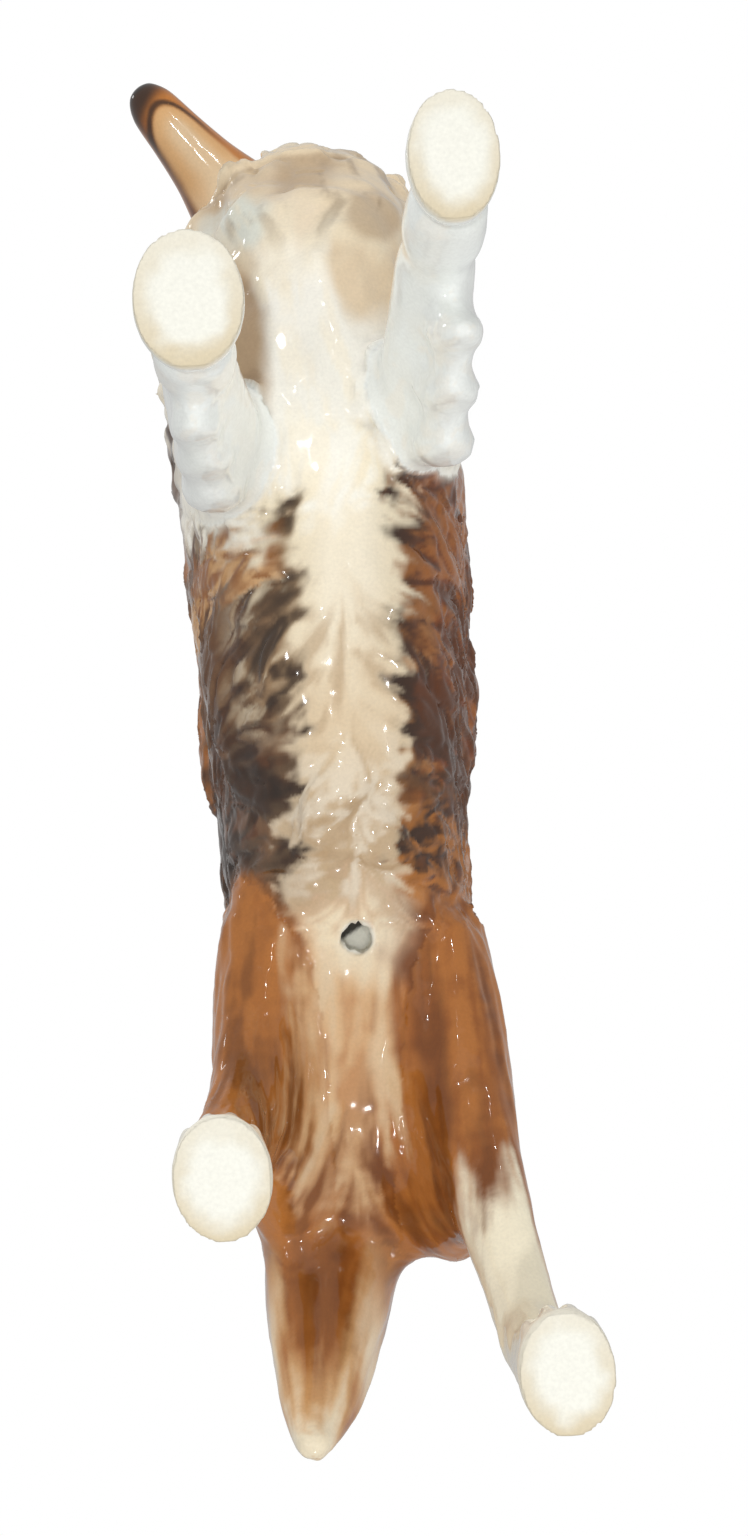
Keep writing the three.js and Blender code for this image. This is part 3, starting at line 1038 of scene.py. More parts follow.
    def grow(
        self, skin: bpy.types.Object, lock: bpy.types.Object, fur: Fur, material: bpy.types.Material
    ) -> tuple[Array, Array]:
        """Lay one kind of lock over the skin.

        Args:
            skin: Surface with the attributes room, lie and out.
            lock: One lock, to be repeated.
            fur: Its sizes.
            material: Finish of the locks.

        Returns:
            Points and faces of all the locks.
        """
        modifier = skin.modifiers.new(fur.name, "NODES")
        modifier.node_group = self.tree
        values = {
            "Lock": lock, "Spacing": fur.spacing, "Length": fur.length, "Width": fur.width, "Rise": fur.rise,
            "Seed": fur.seed, "Material": material,
        }
        for item in self.tree.interface.items_tree:
            if item.in_out == "INPUT" and item.name in values:
                modifier[item.identifier] = values[item.name]
        mesh = settled(skin)
        skin.modifiers.remove(modifier)
        points, quads = quads_of(mesh)
        bpy.data.meshes.remove(mesh)
        return points, quads


@dataclass(frozen=True)
class Lock:
    """One lock of hair of unit length and width: a leaf that swells, sways and ends in a blunt point.

    Attributes:
        rings: Rings along the lock.
        sides: Points round each ring.
        sway: How far its point swings aside.
        root: Level of its crest at the root, where 1 is the highest.
        tip: Level of its crest at the point.
        depth: How far its underside lies below the skin.
    """

    rings: int = 12
    sides: int = 12
    sway: float = 0.2
    root: float = -0.3
    tip: float = 0.3
    depth: float = 1.6

    def build(self) -> bpy.types.Object:
        """Make the lock as a closed mesh of quads, with each point's level over the skin.

        Returns:
            The lock, lying flat along Y about its middle.
        """
        points, levels, faces = [], [], []
        for ring in range(self.rings):
            share = ring / (self.rings - 1)
            width = 0.25 + 0.75 * math.sin(math.pi * (0.12 + 0.84 * share) ** 0.85)
            ends = self.root + (self.tip - self.root) * share
            crest = ends + (1.0 - ends) * math.sin(math.pi * share ** 1.3)
            for side in range(self.sides):
                angle = 2.0 * math.pi * side / self.sides
                wave = math.sin(angle)
                levels.append(-self.depth + (self.depth + crest) * (0.5 + 0.5 * wave) ** 0.7)
                across = 0.5 * width * math.cos(angle) + self.sway * math.sin(2.4 * share - 0.8)
                points.append((across, share - 0.5, 0.05 * wave))
        for ring in range(self.rings - 1):
            for side in range(self.sides):
                after = (side + 1) % self.sides
                low, high = ring * self.sides, (ring + 1) * self.sides
                faces.append((low + side, high + side, high + after, low + after))
        half = self.sides // 2
        for start, flip in ((0, False), ((self.rings - 1) * self.sides, True)):
            for step in range(half - 1):
                far = start + self.sides - 1 - step
                quad = (start + step, start + step + 1, far - 1, far)
                faces.append(quad[::-1] if flip else quad)
        lock = mesh_object("lock", np.array(points), faces)
        attribute(lock.data, "level", "FLOAT", np.array(levels))
        return lock


@dataclass(frozen=True)
class Sole:
    """One unglazed sole.

    Attributes:
        casting: The leg that it ends.
        x: Middle, to the dog's left.
        y: Middle, to the back.
        width: Width of the paw.
        length: Length of the paw.
    """

    casting: Casting
    x: float
    y: float
    width: float
    length: float

    def toes(self, points: Array) -> Array:
        """Find the three grooves that part a paw's toes.

        Args:
            points: Places on the surface.

        Returns:
            1 along a groove, falling to 0 beside it.
        """
        across = np.abs((points[:, 0] - self.x) / self.width)
        aside = self.width * np.minimum(across, np.abs(across - 0.25))
        front = ramp((points[:, 1] - self.y) / self.length, 0.0, -0.3)
        return np.exp(-((aside / 0.6) ** 2)) * front * band(points[:, 2], 3.0, 7.0, 2.0)

    def spread(self, points: Array) -> Array:
        """Distance from the sole's middle, where 1 is the paw's outline."""
        across, along = points[:, 0] - self.x, points[:, 1] - self.y
        return np.hypot(across / (self.width / 2), along / (self.length / 2))


SOLES = (
    Sole(Casting.LEFT_FORELEG, x=12.0, y=-62.0, width=10.0, length=14.0),
    Sole(Casting.RIGHT_FORELEG, x=-16.0, y=-49.0, width=12.0, length=14.8),
    Sole(Casting.LEFT_HIND_LEG, x=16.0, y=63.0, width=10.4, length=13.4),
    Sole(Casting.RIGHT_HIND_LEG, x=-18.0, y=41.0, width=10.8, length=13.4),
)


@dataclass
class Sculptor:
    """Turns the fused clay into the finished surface: locks, strands and soles.

    Attributes:
        castings: The castings' skins.
        head: The head's axes.
        lobes: Width, half length and seed of the broad lobes on the chest.
        waves: Width, half length and seed of the waves in the coat.
        strands: Width, half length and seed of the strands in the coat.
        grid: Size of the quads of the finished surface.
        sole_height: Height below which a downward face belongs to a sole.
        sole_recess: Depth of the hollow inside a sole's rim.
        softening: How many times the dressed surface is evened.
        wave_depth: Depth of the waves.
        swell_depth: Depth of the lobes.
        toe_depth: Depth of the grooves between the toes.
        polishing: How many times the face and the legs are smoothed.
        strand_depth: Depth of the strands.
    """

    castings: Castings
    head: HeadFrame
    lobes: ClassVar[tuple[float, float, int]] = (6.5, 12.0, 29)
    waves: ClassVar[tuple[float, float, int]] = (2.6, 12.0, 30)
    strands: ClassVar[tuple[float, float, int]] = (1.2, 7.0, 31)
    grid: float = 0.42
    sole_height: float = 1.1
    sole_recess: float = 0.3
    softening: int = 5
    wave_depth: float = 0.16
    swell_depth: float = 0.95
    toe_depth: float = 0.55
    polishing: int = 20
    strand_depth: float = 0.045

    def dressed(self, material: bpy.types.Material) -> Clay:
        """Lay the locks on the clay and fuse them with it.

        Args:
            material: Finish of the locks.

        Returns:
            The surface with its locks.
        """
        base, owners = self.castings.clay()
        coat_map = CoatMap(base, owners, self.head)
        skin = mesh_object("skin", base.points, base.quads)
        attribute(skin.data, "lie", "FLOAT_VECTOR", coat_map.lie())
        attribute(skin.data, "out", "FLOAT_VECTOR", unit(base.evened(base.normals(), 6)))
        tree, lock = LockTree(), Lock().build()
        places, faces, start = [], [], 0
        for coat in Coat:
            attribute(skin.data, "room", "FLOAT", coat_map.room(coat))
            skin.data.update()
            points, quads = tree.grow(skin, lock, coat.value, material)
            LOG.info("%s: %d faces of locks", coat.value.name, len(quads))
            places.append(points)
            faces.append(quads + start)
            start += len(points)
        drill = self.castings.drill()
        cut = skin.modifiers.new("vent", "BOOLEAN")
        cut.object = drill
        cut.solver = "EXACT"
        bored = settled(skin)
        joined = bmesh.new()
        joined.from_mesh(bored)
        locks = bpy.data.meshes.new("locks")
        locks.from_pydata(np.vstack(places).tolist(), [], np.vstack(faces).tolist())
        joined.from_mesh(locks)
        joined.to_mesh(bored)
        joined.free()
        bpy.data.meshes.remove(locks)
        whole = placed("dressed", bored)
        cleared(skin, drill, lock)
        clay = fused(whole, self.grid)
        clay.points = clay.evened(clay.points, self.softening)
        clay.sponge(2)
        return clay

    def score(self, clay: Clay, coat_map: CoatMap, lie: Array) -> None:
        """Smooth the face and the legs, then score lobes, waves and strands into the coat.

        Args:
            clay: The surface.
            coat_map: Which casting each point belongs to.
            lie: Direction of the hair.
        """
        forward, _, _ = self.head.locate(clay.points)
        face = coat_map.on(Casting.HEAD) * ramp(forward, 8, 16)
        legs = coat_map.on(*FORELEGS)
        clay.polish(coat_map.on(*FORELEGS, *HIND_LEGS), self.polishing)
        clay.points += face[:, None] * (clay.evened(clay.points, self.polishing) - clay.points)
        soft = (1.0 - face) * (1.0 - 0.75 * legs) * ramp(clay.points[:, 2], 6.0, 12.0)
        soft = soft * (1.0 - 0.6 * ramp(clay.points[:, 1], 46.0, 56.0))
        chest = coat_map.on(Casting.TORSO) * ramp(clay.points[:, 1], -36, -48)
        belly = coat_map.on(Casting.TORSO) * ramp(clay.normals()[:, 2], -0.7, -0.9)
        calm = 1.0 - np.maximum(0.6 * chest, 0.9 * belly)
        depth = np.zeros(len(clay.points))
        for kind, height, where in (
            (self.waves, self.wave_depth, calm),
            (self.lobes, self.swell_depth, chest),
            (self.strands, self.strand_depth, calm),
        ):
            depth += height * (np.clip(streaks(clay.points, lie, *kind), -2, 2) * where)
        clay.points += (depth * soft)[:, None] * clay.normals()

    def flatten(self, clay: Clay, owners: Array) -> Array:
        """Groove the toes, level the soles and hollow them a little inside their rims.

        Args:
            clay: The surface.
            owners: Casting of each point.

        Returns:
            How far each point is unglazed, from 0 to 1.
        """
        bare = np.zeros(len(clay.points))
        normals = clay.normals()
        down = normals[:, 2]
        for sole in SOLES:
            on_leg = owners == sole.casting
            clay.points -= (self.toe_depth * on_leg * sole.toes(clay.points))[:, None] * normals
            under = on_leg & (clay.points[:, 2] < self.sole_height) & (down < -0.35)
            spread = sole.spread(clay.points)
            clay.points[under, 2] = self.sole_recess * ramp(spread[under], 0.72, 0.6)
            bare = np.maximum(bare, on_leg * ramp(clay.points[:, 2], 1.0, 0.35) * ramp(down, -0.05, -0.35))
        clay.points[:, 2] = np.maximum(clay.points[:, 2], 0.0)
        bare = np.maximum(bare, self.castings.in_vent(clay.points))
        return clay.evened(bare, 1)


@dataclass
class Painter:
    """Lays the underglaze colours on the finished surface.

    Attributes:
        clay: The surface.
        coat_map: Which casting each point belongs to.
        lie: Direction of the hair.
        bare: How far each point is unglazed.
        marks: Width, half length and seed of the broad, middle and fine brush marks.
        mark_limit: Strongest that a brush mark may be.
        mark_edge: Half the softness of a brush mark's edge.
        slice_step: Distance between the slices in which the trunk is measured.
        flank_lean: How far the borders on the flanks lean back for each millimetre of height.
        flank_foot: Height at which those borders begin to lean.
        belly_lean: How far the belly's middle line leans for each millimetre along the body.
        sock_top: Height at which the left hind sock ends.
        sock_drop: How much lower the right hind sock ends.
        nose: Middle of the nose in the head's axes.
        eye: Middle of the right eye in the head's axes; the left one is its mirror image.
        muzzle_forward: Places along the muzzle, from the occiput.
        muzzle_half: Half the muzzle's width at those places.
        colour: Paint at each point.
        facing: How far below the trunk's middle each point lies, from 1 at the belly to -1 at the back.
        slant: Place along the body, counted so that borders on the flanks lean back.
        sweep: Broad brush marks.
        brush: Middle brush marks.
        bristle: Fine brush marks.
    """

    clay: Clay
    coat_map: CoatMap
    lie: Array
    bare: Array
    marks: ClassVar[tuple[tuple[float, float, int], ...]] = ((4.0, 6.0, 43), (2.0, 7.0, 41), (0.7, 5.0, 42))
    mark_limit: float = 2.2
    mark_edge: float = 0.5 / 0.6
    slice_step: float = 4.0
    flank_lean: float = 0.45
    flank_foot: float = 53.0
    belly_lean: float = 0.06
    sock_top: float = 37.0
    sock_drop: float = 14.0
    nose: tuple[float, float, float] = (40.8, 0.0, 0.6)
    eye: tuple[float, float, float] = (19.0, 6.4, 3.6)
    muzzle_forward: tuple[float, ...] = (14.0, 20.0, 26.0, 33.0, 38.5, 41.0)
    muzzle_half: tuple[float, ...] = (9.5, 7.2, 5.5, 4.4, 3.8, 2.7)
    colour: Array = field(init=False)
    facing: Array = field(init=False)
    slant: Array = field(init=False)
    sweep: Array = field(init=False)
    brush: Array = field(init=False)
    bristle: Array = field(init=False)

    def __post_init__(self) -> None:
        """Prepare the first coat, the places that the paint goes by and the brush marks."""
        points = self.clay.points
        self.colour = np.tile(Palette.CARAMEL, (len(points), 1))
        self.facing = self._facing()
        self.slant = points[:, 1] - self.flank_lean * np.maximum(points[:, 2] - self.flank_foot, 0.0)
        limit = self.mark_limit
        self.sweep, self.brush, self.bristle = (
            np.clip(streaks(points, self.lie, *mark), -limit, limit) for mark in self.marks
        )

    def _facing(self) -> Array:
        """Find how far below the trunk's middle each point lies.

        Returns:
            1 along the belly, 0 half way up and -1 along the back.
        """
        _, y, z = self.clay.points.T
        torso = self.coat_map.on(Casting.TORSO) > 0.5
        half = self.slice_step / 2.0
        places = np.arange(y[torso].min() + half, y[torso].max() - half, self.slice_step)
        slices = [z[torso & (np.abs(y - place) < half)] for place in places]
        low = np.interp(y, places, [part.min() for part in slices])
        high = np.interp(y, places, [part.max() for part in slices])
        return np.clip((low + high - 2.0 * z) / (high - low), -1.0, 1.0)

    def over(self, mask: Array, paint: Array, strength: float = 1.0) -> None:
        """Lay a colour over what is there.

        Args:
            mask: Where, from 0 to 1.
            paint: The colour.
            strength: How much it covers.
        """
        share = np.clip(mask * strength, 0.0, 1.0)[:, None]
        self.colour = self.colour * (1.0 - share) + paint * share

    def _mixed(self, level: float, sweep: float, brush: float, bristle: float) -> Array:
        """Mix the three kinds of brush mark.

        Args:
            level: Higher leaves fewer marks.
            sweep: Share of the broad marks.
            brush: Share of the middle marks.
            bristle: Share of the fine marks.

        Returns:
            A mask from 0 to 1.
        """
        marks = sweep * self.sweep + brush * self.brush + bristle * self.bristle
        return ramp(marks - level, -self.mark_edge, self.mark_edge)

    def strokes(self, level: float) -> Array:
        """Brush marks that cover a share of the surface; a higher level leaves fewer."""
        return self._mixed(level, 0.55, 0.65, 0.35)

    def lights(self, level: float) -> Array:
        """Brush marks that lie where the strokes leave gaps; a higher level leaves fewer."""
        return self._mixed(level, -0.5, -0.65, 0.4)

    def patch(self, x: float, y: float, wide: float, long: float) -> Array:
        """A ragged patch on the underside.

        Args:
            x: Its middle, to the dog's left.
            y: Its middle, to the back.
            wide: Half its width.
            long: Half its length.

        Returns:
            A mask from 0 to 1.
        """
        points = self.clay.points
        away = np.hypot((points[:, 0] - x) / wide, (points[:, 1] - y) / long)
        return ramp(away + 0.12 * self.sweep + 0.06 * self.brush, 1.15, 0.55)

    def ragged(self, values: Array, reach: float) -> Array:
        """Pull a border back and forth along the brush marks.

        Args:
            values: Distances across the border.
            reach: How far the marks carry it.

        Returns:
            The distances with the marks in them.
        """
        return values + reach * (0.75 * self.brush + 0.3 * self.bristle)

    def paint(self) -> Array:
        """Paint the whole figure.

        Returns:
            One linear colour to a point.
        """
        self._trunk()
        self._hind_quarters()
        self._forelegs()
        self._tail()
        self._head()
        # Painted shade in the hollows and painted highlight on the ridges.
        self._wash()
        self._soles()
        return np.clip(self.colour, 0.0, 1.0)

    def _trunk(self) -> None:
        """Sable back, two-coloured flanks, a pale strip along the belly, cream chest and a dark saddle."""
        x, y, z = self.clay.points.T
        torso = self.coat_map.on(Casting.TORSO)
        down = self.facing
        self.over(torso, Palette.RUSSET)
        self.over(torso * self.lights(0.4), Palette.CARAMEL, 0.7)
        self.over(torso * self.strokes(0.1) * ramp(down, 0.1, -0.5), Palette.SABLE, 0.8)
        self.over(torso * self.strokes(0.5) * ramp(down, -0.3, -0.8), Palette.UMBER, 0.85)
        across = x + self.belly_lean * y + 0.3
        flanks = torso * ramp(self.ragged(down, 0.12), -0.35, 0.1)
        self._flanks(flanks * band(self.ragged(self.slant, 2.5), -34, 17, 5), across, self.slant)
        strip = torso * ramp(self.ragged(np.abs(across), 1.5), 8.2, 4.6)
        strip = strip * ramp(down, -0.1, 0.3) * ramp(self.ragged(y, 3.0), 26, 12)
        self.over(strip, Palette.CREAM, 0.95)
        self.over(strip * ramp(np.abs(across), 6.0, 2.0) * ramp(y, 0, -24), Palette.PEARL, 0.4)
        self.over(strip * ramp(self.ragged(y, 3.0), -26, -4), Palette.BEIGE, 0.9)
        self.over(strip * self.strokes(0.4) * band(y, -16, 24, 6), Palette.TAUPE, 0.5)
        self.over(strip * ramp(y, -6, 8), Palette.TAUPE, 0.6)
        self.over(strip * self.lights(0.5) * ramp(y, -10, 4), Palette.PEARL, 0.45)
        bend = 6.0 * ramp(x, -4.0, -10.0) - 5.0 * ramp(x, 4.0, 9.0) - 0.2 * (z - 45)
        ahead = self.clay.evened(-self.clay.normals()[:, 1], 40)
        apron = np.maximum(ramp(down, -0.5, -0.1), ramp(ahead, 0.25, 0.6))
        self._chest(torso * ramp(self.ragged(y - bend, 2.0), -31, -38) * apron)
        saddle = torso * ramp(self.ragged(y - 0.35 * (z - 60), 4.0), -60, -52) * ramp(down, 0.25, -0.1)
        self.over(saddle * ramp(y, -25, -38), Palette.SABLE, 0.85)
        self.over(saddle * ramp(y, -25, -38) * self.strokes(0.3), Palette.UMBER, 0.7)

    def _flanks(self, under: Array, across: Array, y: Array) -> None:
        """Strokes beside the belly, drawn outward and back: drab on the dog's right, chestnut on its left.

        Args:
            under: Where the flanks are seen from below.
            across: Distance to the left of the belly's middle line.
            y: Place along the body, counted so that borders lean back.
        """
        off = np.abs(across)
        near, far = self.ragged(off, 1.6), ramp(self.ragged(off, 2.0), 13.0, 17.0)
        right, left = under * ramp(across, 1.0, -1.0), under * ramp(across, -1.0, 1.0)
        ahead = ramp(self.ragged(y, 2.0), -2.0, -13.0)
        self.over(right, Palette.DRAB, 0.95)
        self.over(right * (1.0 - ahead), Palette.SABLE, 0.9)
        self.over(right * self.strokes(0.3) * (1.0 - 0.4 * ahead), Palette.UMBER, 0.8)
        self.over(right * far, Palette.SABLE, 0.6)
        self.over(right * ramp(near, 10.5, 7.5) * (0.3 + 0.7 * ahead), Palette.TAUPE, 0.6)
        self.over(right * ramp(y, -12, 2) * self.strokes(-0.6), Palette.UMBER, 0.85)
        self.over(right * self.lights(0.1) * ramp(off, 17, 11) * (0.2 + 0.8 * ahead), Palette.TAUPE, 0.7)
        self.over(right * self.lights(0.3) * ramp(off, 17, 10) * ahead, Palette.CREAM, 0.7)
        self.over(right * self.strokes(1.2), Palette.BLACK, 0.6)
        self.over(left, Palette.CHESTNUT, 0.95)
        self.over(left * self.strokes(0.0), Palette.SABLE, 0.85)
        self.over(left * ramp(near, 12.0, 7.5), Palette.UMBER, 0.85)
        self.over(left * ramp(near, 12.5, 8.0) * self.strokes(0.6), Palette.BLACK, 0.5)
        self.over(left * self.lights(0.45), Palette.CARAMEL, 0.5)
        self.over(left * self.lights(0.9) * ramp(off, 13, 8) * ramp(y, -24, -10), Palette.TAN, 0.35)
        self.over(left * ramp(y, -12, 2) * self.strokes(-0.3), Palette.UMBER, 0.75)
        self.over(left * far * self.strokes(-0.4), Palette.SABLE, 0.7)
        self.over(left * ramp(y, 1, 9) * self.lights(-0.8), Palette.AMBER, 0.6)
        behind_leg = right * band(self.ragged(y, 1.6), -28, -24, 2.5) * ramp(off, 7, 10)
        self.over(behind_leg, Palette.CARAMEL, 0.5)
        self.over(behind_leg * self.lights(0.0), Palette.TAN, 0.8)

    def _chest(self, chest: Array) -> None:
        """Cream and white chest with beige, taupe and pale grey locks; painted shade and painted highlight on
        the throat's lobes; the right forepaw's shadow painted beside that leg.

        Args:
            chest: Where the chest is.
        """
        y = self.clay.points[:, 1]
        self.over(chest, Palette.CREAM)
        self.over(chest * self.patch(-1.0, -50.0, 10.0, 26.0), Palette.PEARL, 0.9)
        self.over(chest * self.lights(-0.6) * band(y, -60, -30, 5), Palette.WHITE, 0.8)
        self.over(chest * ramp(self.ragged(y, 2.0), -66, -74), Palette.TAN, 0.25)
        self.over(chest * self.patch(7.0, -64.0, 6.5, 9.5), Palette.BEIGE, 0.9)
        # Partly taupe paint, partly the shadow that the right forepaw casts on the chest, painted beside that
        # leg.
        self.over(chest * self.patch(-11.5, -56.0, 5.0, 14.0), Palette.TAUPE, 0.95)
        throat = chest * ramp(self.ragged(y, 2.0), -62, -70) * ramp(self.facing, -0.1, 0.3)
        lobes = streaks(self.clay.points, self.lie, *Sculptor.lobes)
        # Painted shade: taupe in the hollows between the throat's lobes; painted highlight: cream on their
        # crests.
        self.over(throat * ramp(lobes, -0.2, -1.2), Palette.TAUPE, 0.65)
        self.over(throat * ramp(lobes, 0.4, 1.4), Palette.CREAM, 0.7)
        self.over(throat * self.patch(-6.5, -78.5, 6.5, 4.0), Palette.TAUPE, 0.25)
        self.over(throat * self.patch(8.5, -71.5, 4.5, 4.5), Palette.TAUPE, 0.6)
        grey = throat * self.patch(-11.5, -71.5, 6.5, 5.0) * ramp(self.facing, 0.3, 0.7)
        self.over(grey * (0.5 + 0.5 * self.lights(0.0)), Palette.GREY, 0.9)
        self.over(throat * self.strokes(0.9), Palette.DRAB, 0.5)

    def _hind_quarters(self) -> None:
        """Russet thighs with darker strokes, a tan strip between them, the vent with a painted shadow inside
        it and ivory socks.
        """
        x, y, z = self.clay.points.T
        normal = self.clay.normals()
        torso = self.coat_map.on(Casting.TORSO)
        legs = self.clay.evened(self.coat_map.on(*HIND_LEGS), 30)
        haunch = torso * ramp(self.ragged(self.slant, 2.5), 14, 23)
        haunch = haunch * ramp(self.ragged(self.facing, 0.12), -0.5, 0.0)
        rear = np.maximum(legs, haunch)
        self.over(rear, Palette.RUSSET)
        self.over(rear * self.lights(0.0), Palette.CARAMEL, 0.75)
        self.over(rear * ramp(x, -2.0, -8.0), Palette.CARAMEL, 0.6)
        self.over(rear * self.strokes(0.6), Palette.SABLE, 0.5)
        across = np.abs(x + self.belly_lean * y + 1.0)
        middle = rear * ramp(self.ragged(across, 1.2), 7.5, 3.5) * ramp(self.ragged(y, 4.0), 60, 44)
        self.over(middle, Palette.TAN, 0.95)
        self.over(middle, Palette.CREAM, 0.2)
        self.over(middle * self.strokes(0.5), Palette.CARAMEL, 0.6)
        self.over(middle * self.lights(0.4), Palette.BEIGE, 0.6)
        self.over(rear * ramp(np.hypot(1.3 * x, y - 17.0) + self.brush, 13.0, 6.0), Palette.CREAM, 0.9)
        vent = torso * self.bare
        self.over(vent, Palette.BISCUIT)
        # Painted shadow: a black crescent on the vent's floor stands for the unlit hollow inside the torso.
        vent_shadow = -0.6 * (x - VENT[0]) - (y - VENT[1])
        self.over(vent * ramp(vent_shadow, 0.3, 0.8) * ramp(z, 48, 50), Palette.BLACK, 0.95)
        top = np.where(x > 0.0, self.sock_top, self.sock_top - self.sock_drop)
        sock = legs * ramp(self.ragged(z - top, 2.0), 3.0, -3.0)
        self.over(sock, Palette.IVORY)
        self.over(sock * ramp(z, 20, 8), Palette.WHITE, 0.5)
        outward = normal[:, 1] + 0.8 * np.sign(x) * normal[:, 0]
        outer = ramp(outward, 0.15, 0.6) * ramp(self.ragged(z, 1.5), 9, 16)
        self.over(legs * outer, Palette.CARAMEL, 0.85)

    def _forelegs(self) -> None:
        """White forelegs with a little warm shade where they meet the chest."""
        z = self.clay.points[:, 2]
        legs = self.coat_map.on(*FORELEGS)
        self.over(legs, Palette.COOL_WHITE)
        legs = self.clay.evened(legs, 10)
        self.over(legs, Palette.COOL_WHITE)
        self.over(legs * ramp(z, 38, 60), Palette.CREAM, 0.7)
        self.over(legs * ramp(self.sweep, -0.6, -1.8), Palette.GREY, 0.2)
        self.over(legs * ramp(self.brush, 0.3, 1.3), Palette.WHITE, 0.6)

    def _tail(self) -> None:
        """Brown tail with pale edges and a cream tip."""
        points = self.clay.points
        tail = self.clay.evened(self.coat_map.on(Casting.TAIL), 40)
        along = np.clip((78.0 - points[:, 2]) / 45.0, 0.0, 1.2)
        middle = -3.0 - 7.0 * along
        half = 9.4 - 5.6 * along
        edge = self.ragged(np.abs(points[:, 0] - middle) / half, 0.06)
        self.over(tail, Palette.RUSSET)
        self.over(tail * self.lights(-0.1), Palette.CARAMEL, 0.6)
        self.over(tail * self.strokes(0.6), Palette.SABLE, 0.4)
        core = tail * band(self.ragged(along, 0.05), 0.5, 0.66, 0.16) * ramp(edge, 0.8, 0.3)
        self.over(core, Palette.SABLE, 0.4)
        self.over(tail * ramp(edge, 0.7, 1.0) * ramp(along, 0.42, 0.62), Palette.TAN, 0.9)
        self.over(tail * ramp(edge, 0.85, 1.1) * ramp(along, 0.5, 0.7), Palette.CREAM, 0.75)
        self.over(tail * ramp(self.ragged(along, 0.05), 0.72, 0.92), Palette.TAN)
        self.over(tail * ramp(self.ragged(along, 0.05), 0.84, 1.0), Palette.CREAM)

    def _head(self) -> None:
        """Sable mask, pale jaw inside the brown lips, dark mouth line, nose and eyes."""
        points = self.clay.points
        forward, side, up = self.coat_map.head.locate(points)
        _, _, head_up = self.coat_map.head.axes()
        head, ears = self.coat_map.on(Casting.HEAD), self.coat_map.on(*EARS)
        under = ramp(self.clay.normals() @ head_up, 0.05, -0.25)
        half = np.interp(forward, self.muzzle_forward, self.muzzle_half)
        self.over(head, Palette.CARAMEL)
        self.over(head * self.strokes(0.0), Palette.RUSSET, 0.7)
        self.over(head * ramp(up, 1.0, 6.0) * self.strokes(0.2), Palette.SABLE, 0.7)
        blaze = self.ragged(np.abs(side) - 0.05 * (forward - 20.0), 0.25)
        self.over(head * ramp(blaze, 1.7, 0.7) * ramp(up, 2.0, 4.0), Palette.PEARL, 0.85)
        self.over(head * under * ramp(side, 1.0, -2.0), Palette.AMBER, 0.7)
        self.over(head * under * ramp(side / half, 0.75, 0.95), Palette.SABLE, 0.8)
        self.over(head * under * ramp(side / half, -0.92, -1.02), Palette.SABLE, 0.7)
        lean = np.where(side < 0.0, 1.15, 0.82)
        bow = np.hypot(lean * side / half, np.maximum(forward - 31.5, 0.0) / 7.6)
        bow = bow + 0.03 * clouds(points, 2.5, 61)
        jaw = head * under * ramp(bow, 0.8, 0.62)
        self.over(jaw, Palette.TAN)
        self.over(jaw * ramp(bow, 0.6, 0.15), Palette.BEIGE, 0.8)
        self.over(jaw * ramp(forward, 26, 16), Palette.CREAM, 0.7)
        line = band(bow, 0.78, 0.84, 0.1) * ramp(forward, 24, 34)
        self.over(head * under * line, Palette.UMBER, 0.9)
        self.over(head * ramp(forward, 37.0, 40.0), Palette.SABLE, 0.8)
        self.over(head * ramp(forward + 0.5 * side, 37.5, 40.0), Palette.BLACK, 0.8)
        spot = np.stack((forward, side, up), axis=1)
        nose = np.linalg.norm(spot - np.array(self.nose), axis=1)
        self.over(head * ramp(nose, 3.5, 2.6), Palette.BLACK, 0.95)
        for mirror in (-1.0, 1.0):
            eye = np.linalg.norm(spot - np.array(self.eye) * (1.0, mirror, 1.0), axis=1)
            self.over(head * ramp(eye, 2.6, 1.9), Palette.UMBER, 0.9)
            self.over(head * ramp(eye, 1.9, 1.6), Palette.EYE)
            self.over(head * ramp(eye, 1.15, 0.9), Palette.BLACK)
        self.over(ears, Palette.RUSSET)
        self.over(ears * self.strokes(0.0), Palette.SABLE, 0.8)
        self.over(ears * ramp(up, 12, 16), Palette.UMBER, 0.8)

    def _wash(self) -> None:
        """Painted shade: darken the colour in the hollows, and pale the ridges a little with a painted cream
        highlight.
        """
        hollow = self.clay.hollows()
        self.colour *= (1.0 - 0.22 * ramp(hollow, 0.03, 0.4))[:, None]
        self.over(ramp(-hollow, 0.05, 0.4), Palette.CREAM, 0.06)

    def _soles(self) -> None:
        """Unglazed soles: pale in the middle, with a buff porous rim."""
        points = self.clay.points
        for sole in SOLES:
            on_leg = (self.coat_map.owners == sole.casting) * self.bare
            spread = sole.spread(points) + 0.1 * clouds(points, 2.2, 51) + 0.05 * clouds(points, 0.8, 52)
            rear = 0.5 + 0.5 * np.clip((points[:, 1] - sole.y) / (0.5 * sole.length), -1.0, 1.0)
            self.over(on_leg, Palette.BISCUIT)
            self.over(on_leg * ramp(spread, 0.5, 0.9) * (0.3 + 0.7 * rear), Palette.RING, 0.95)


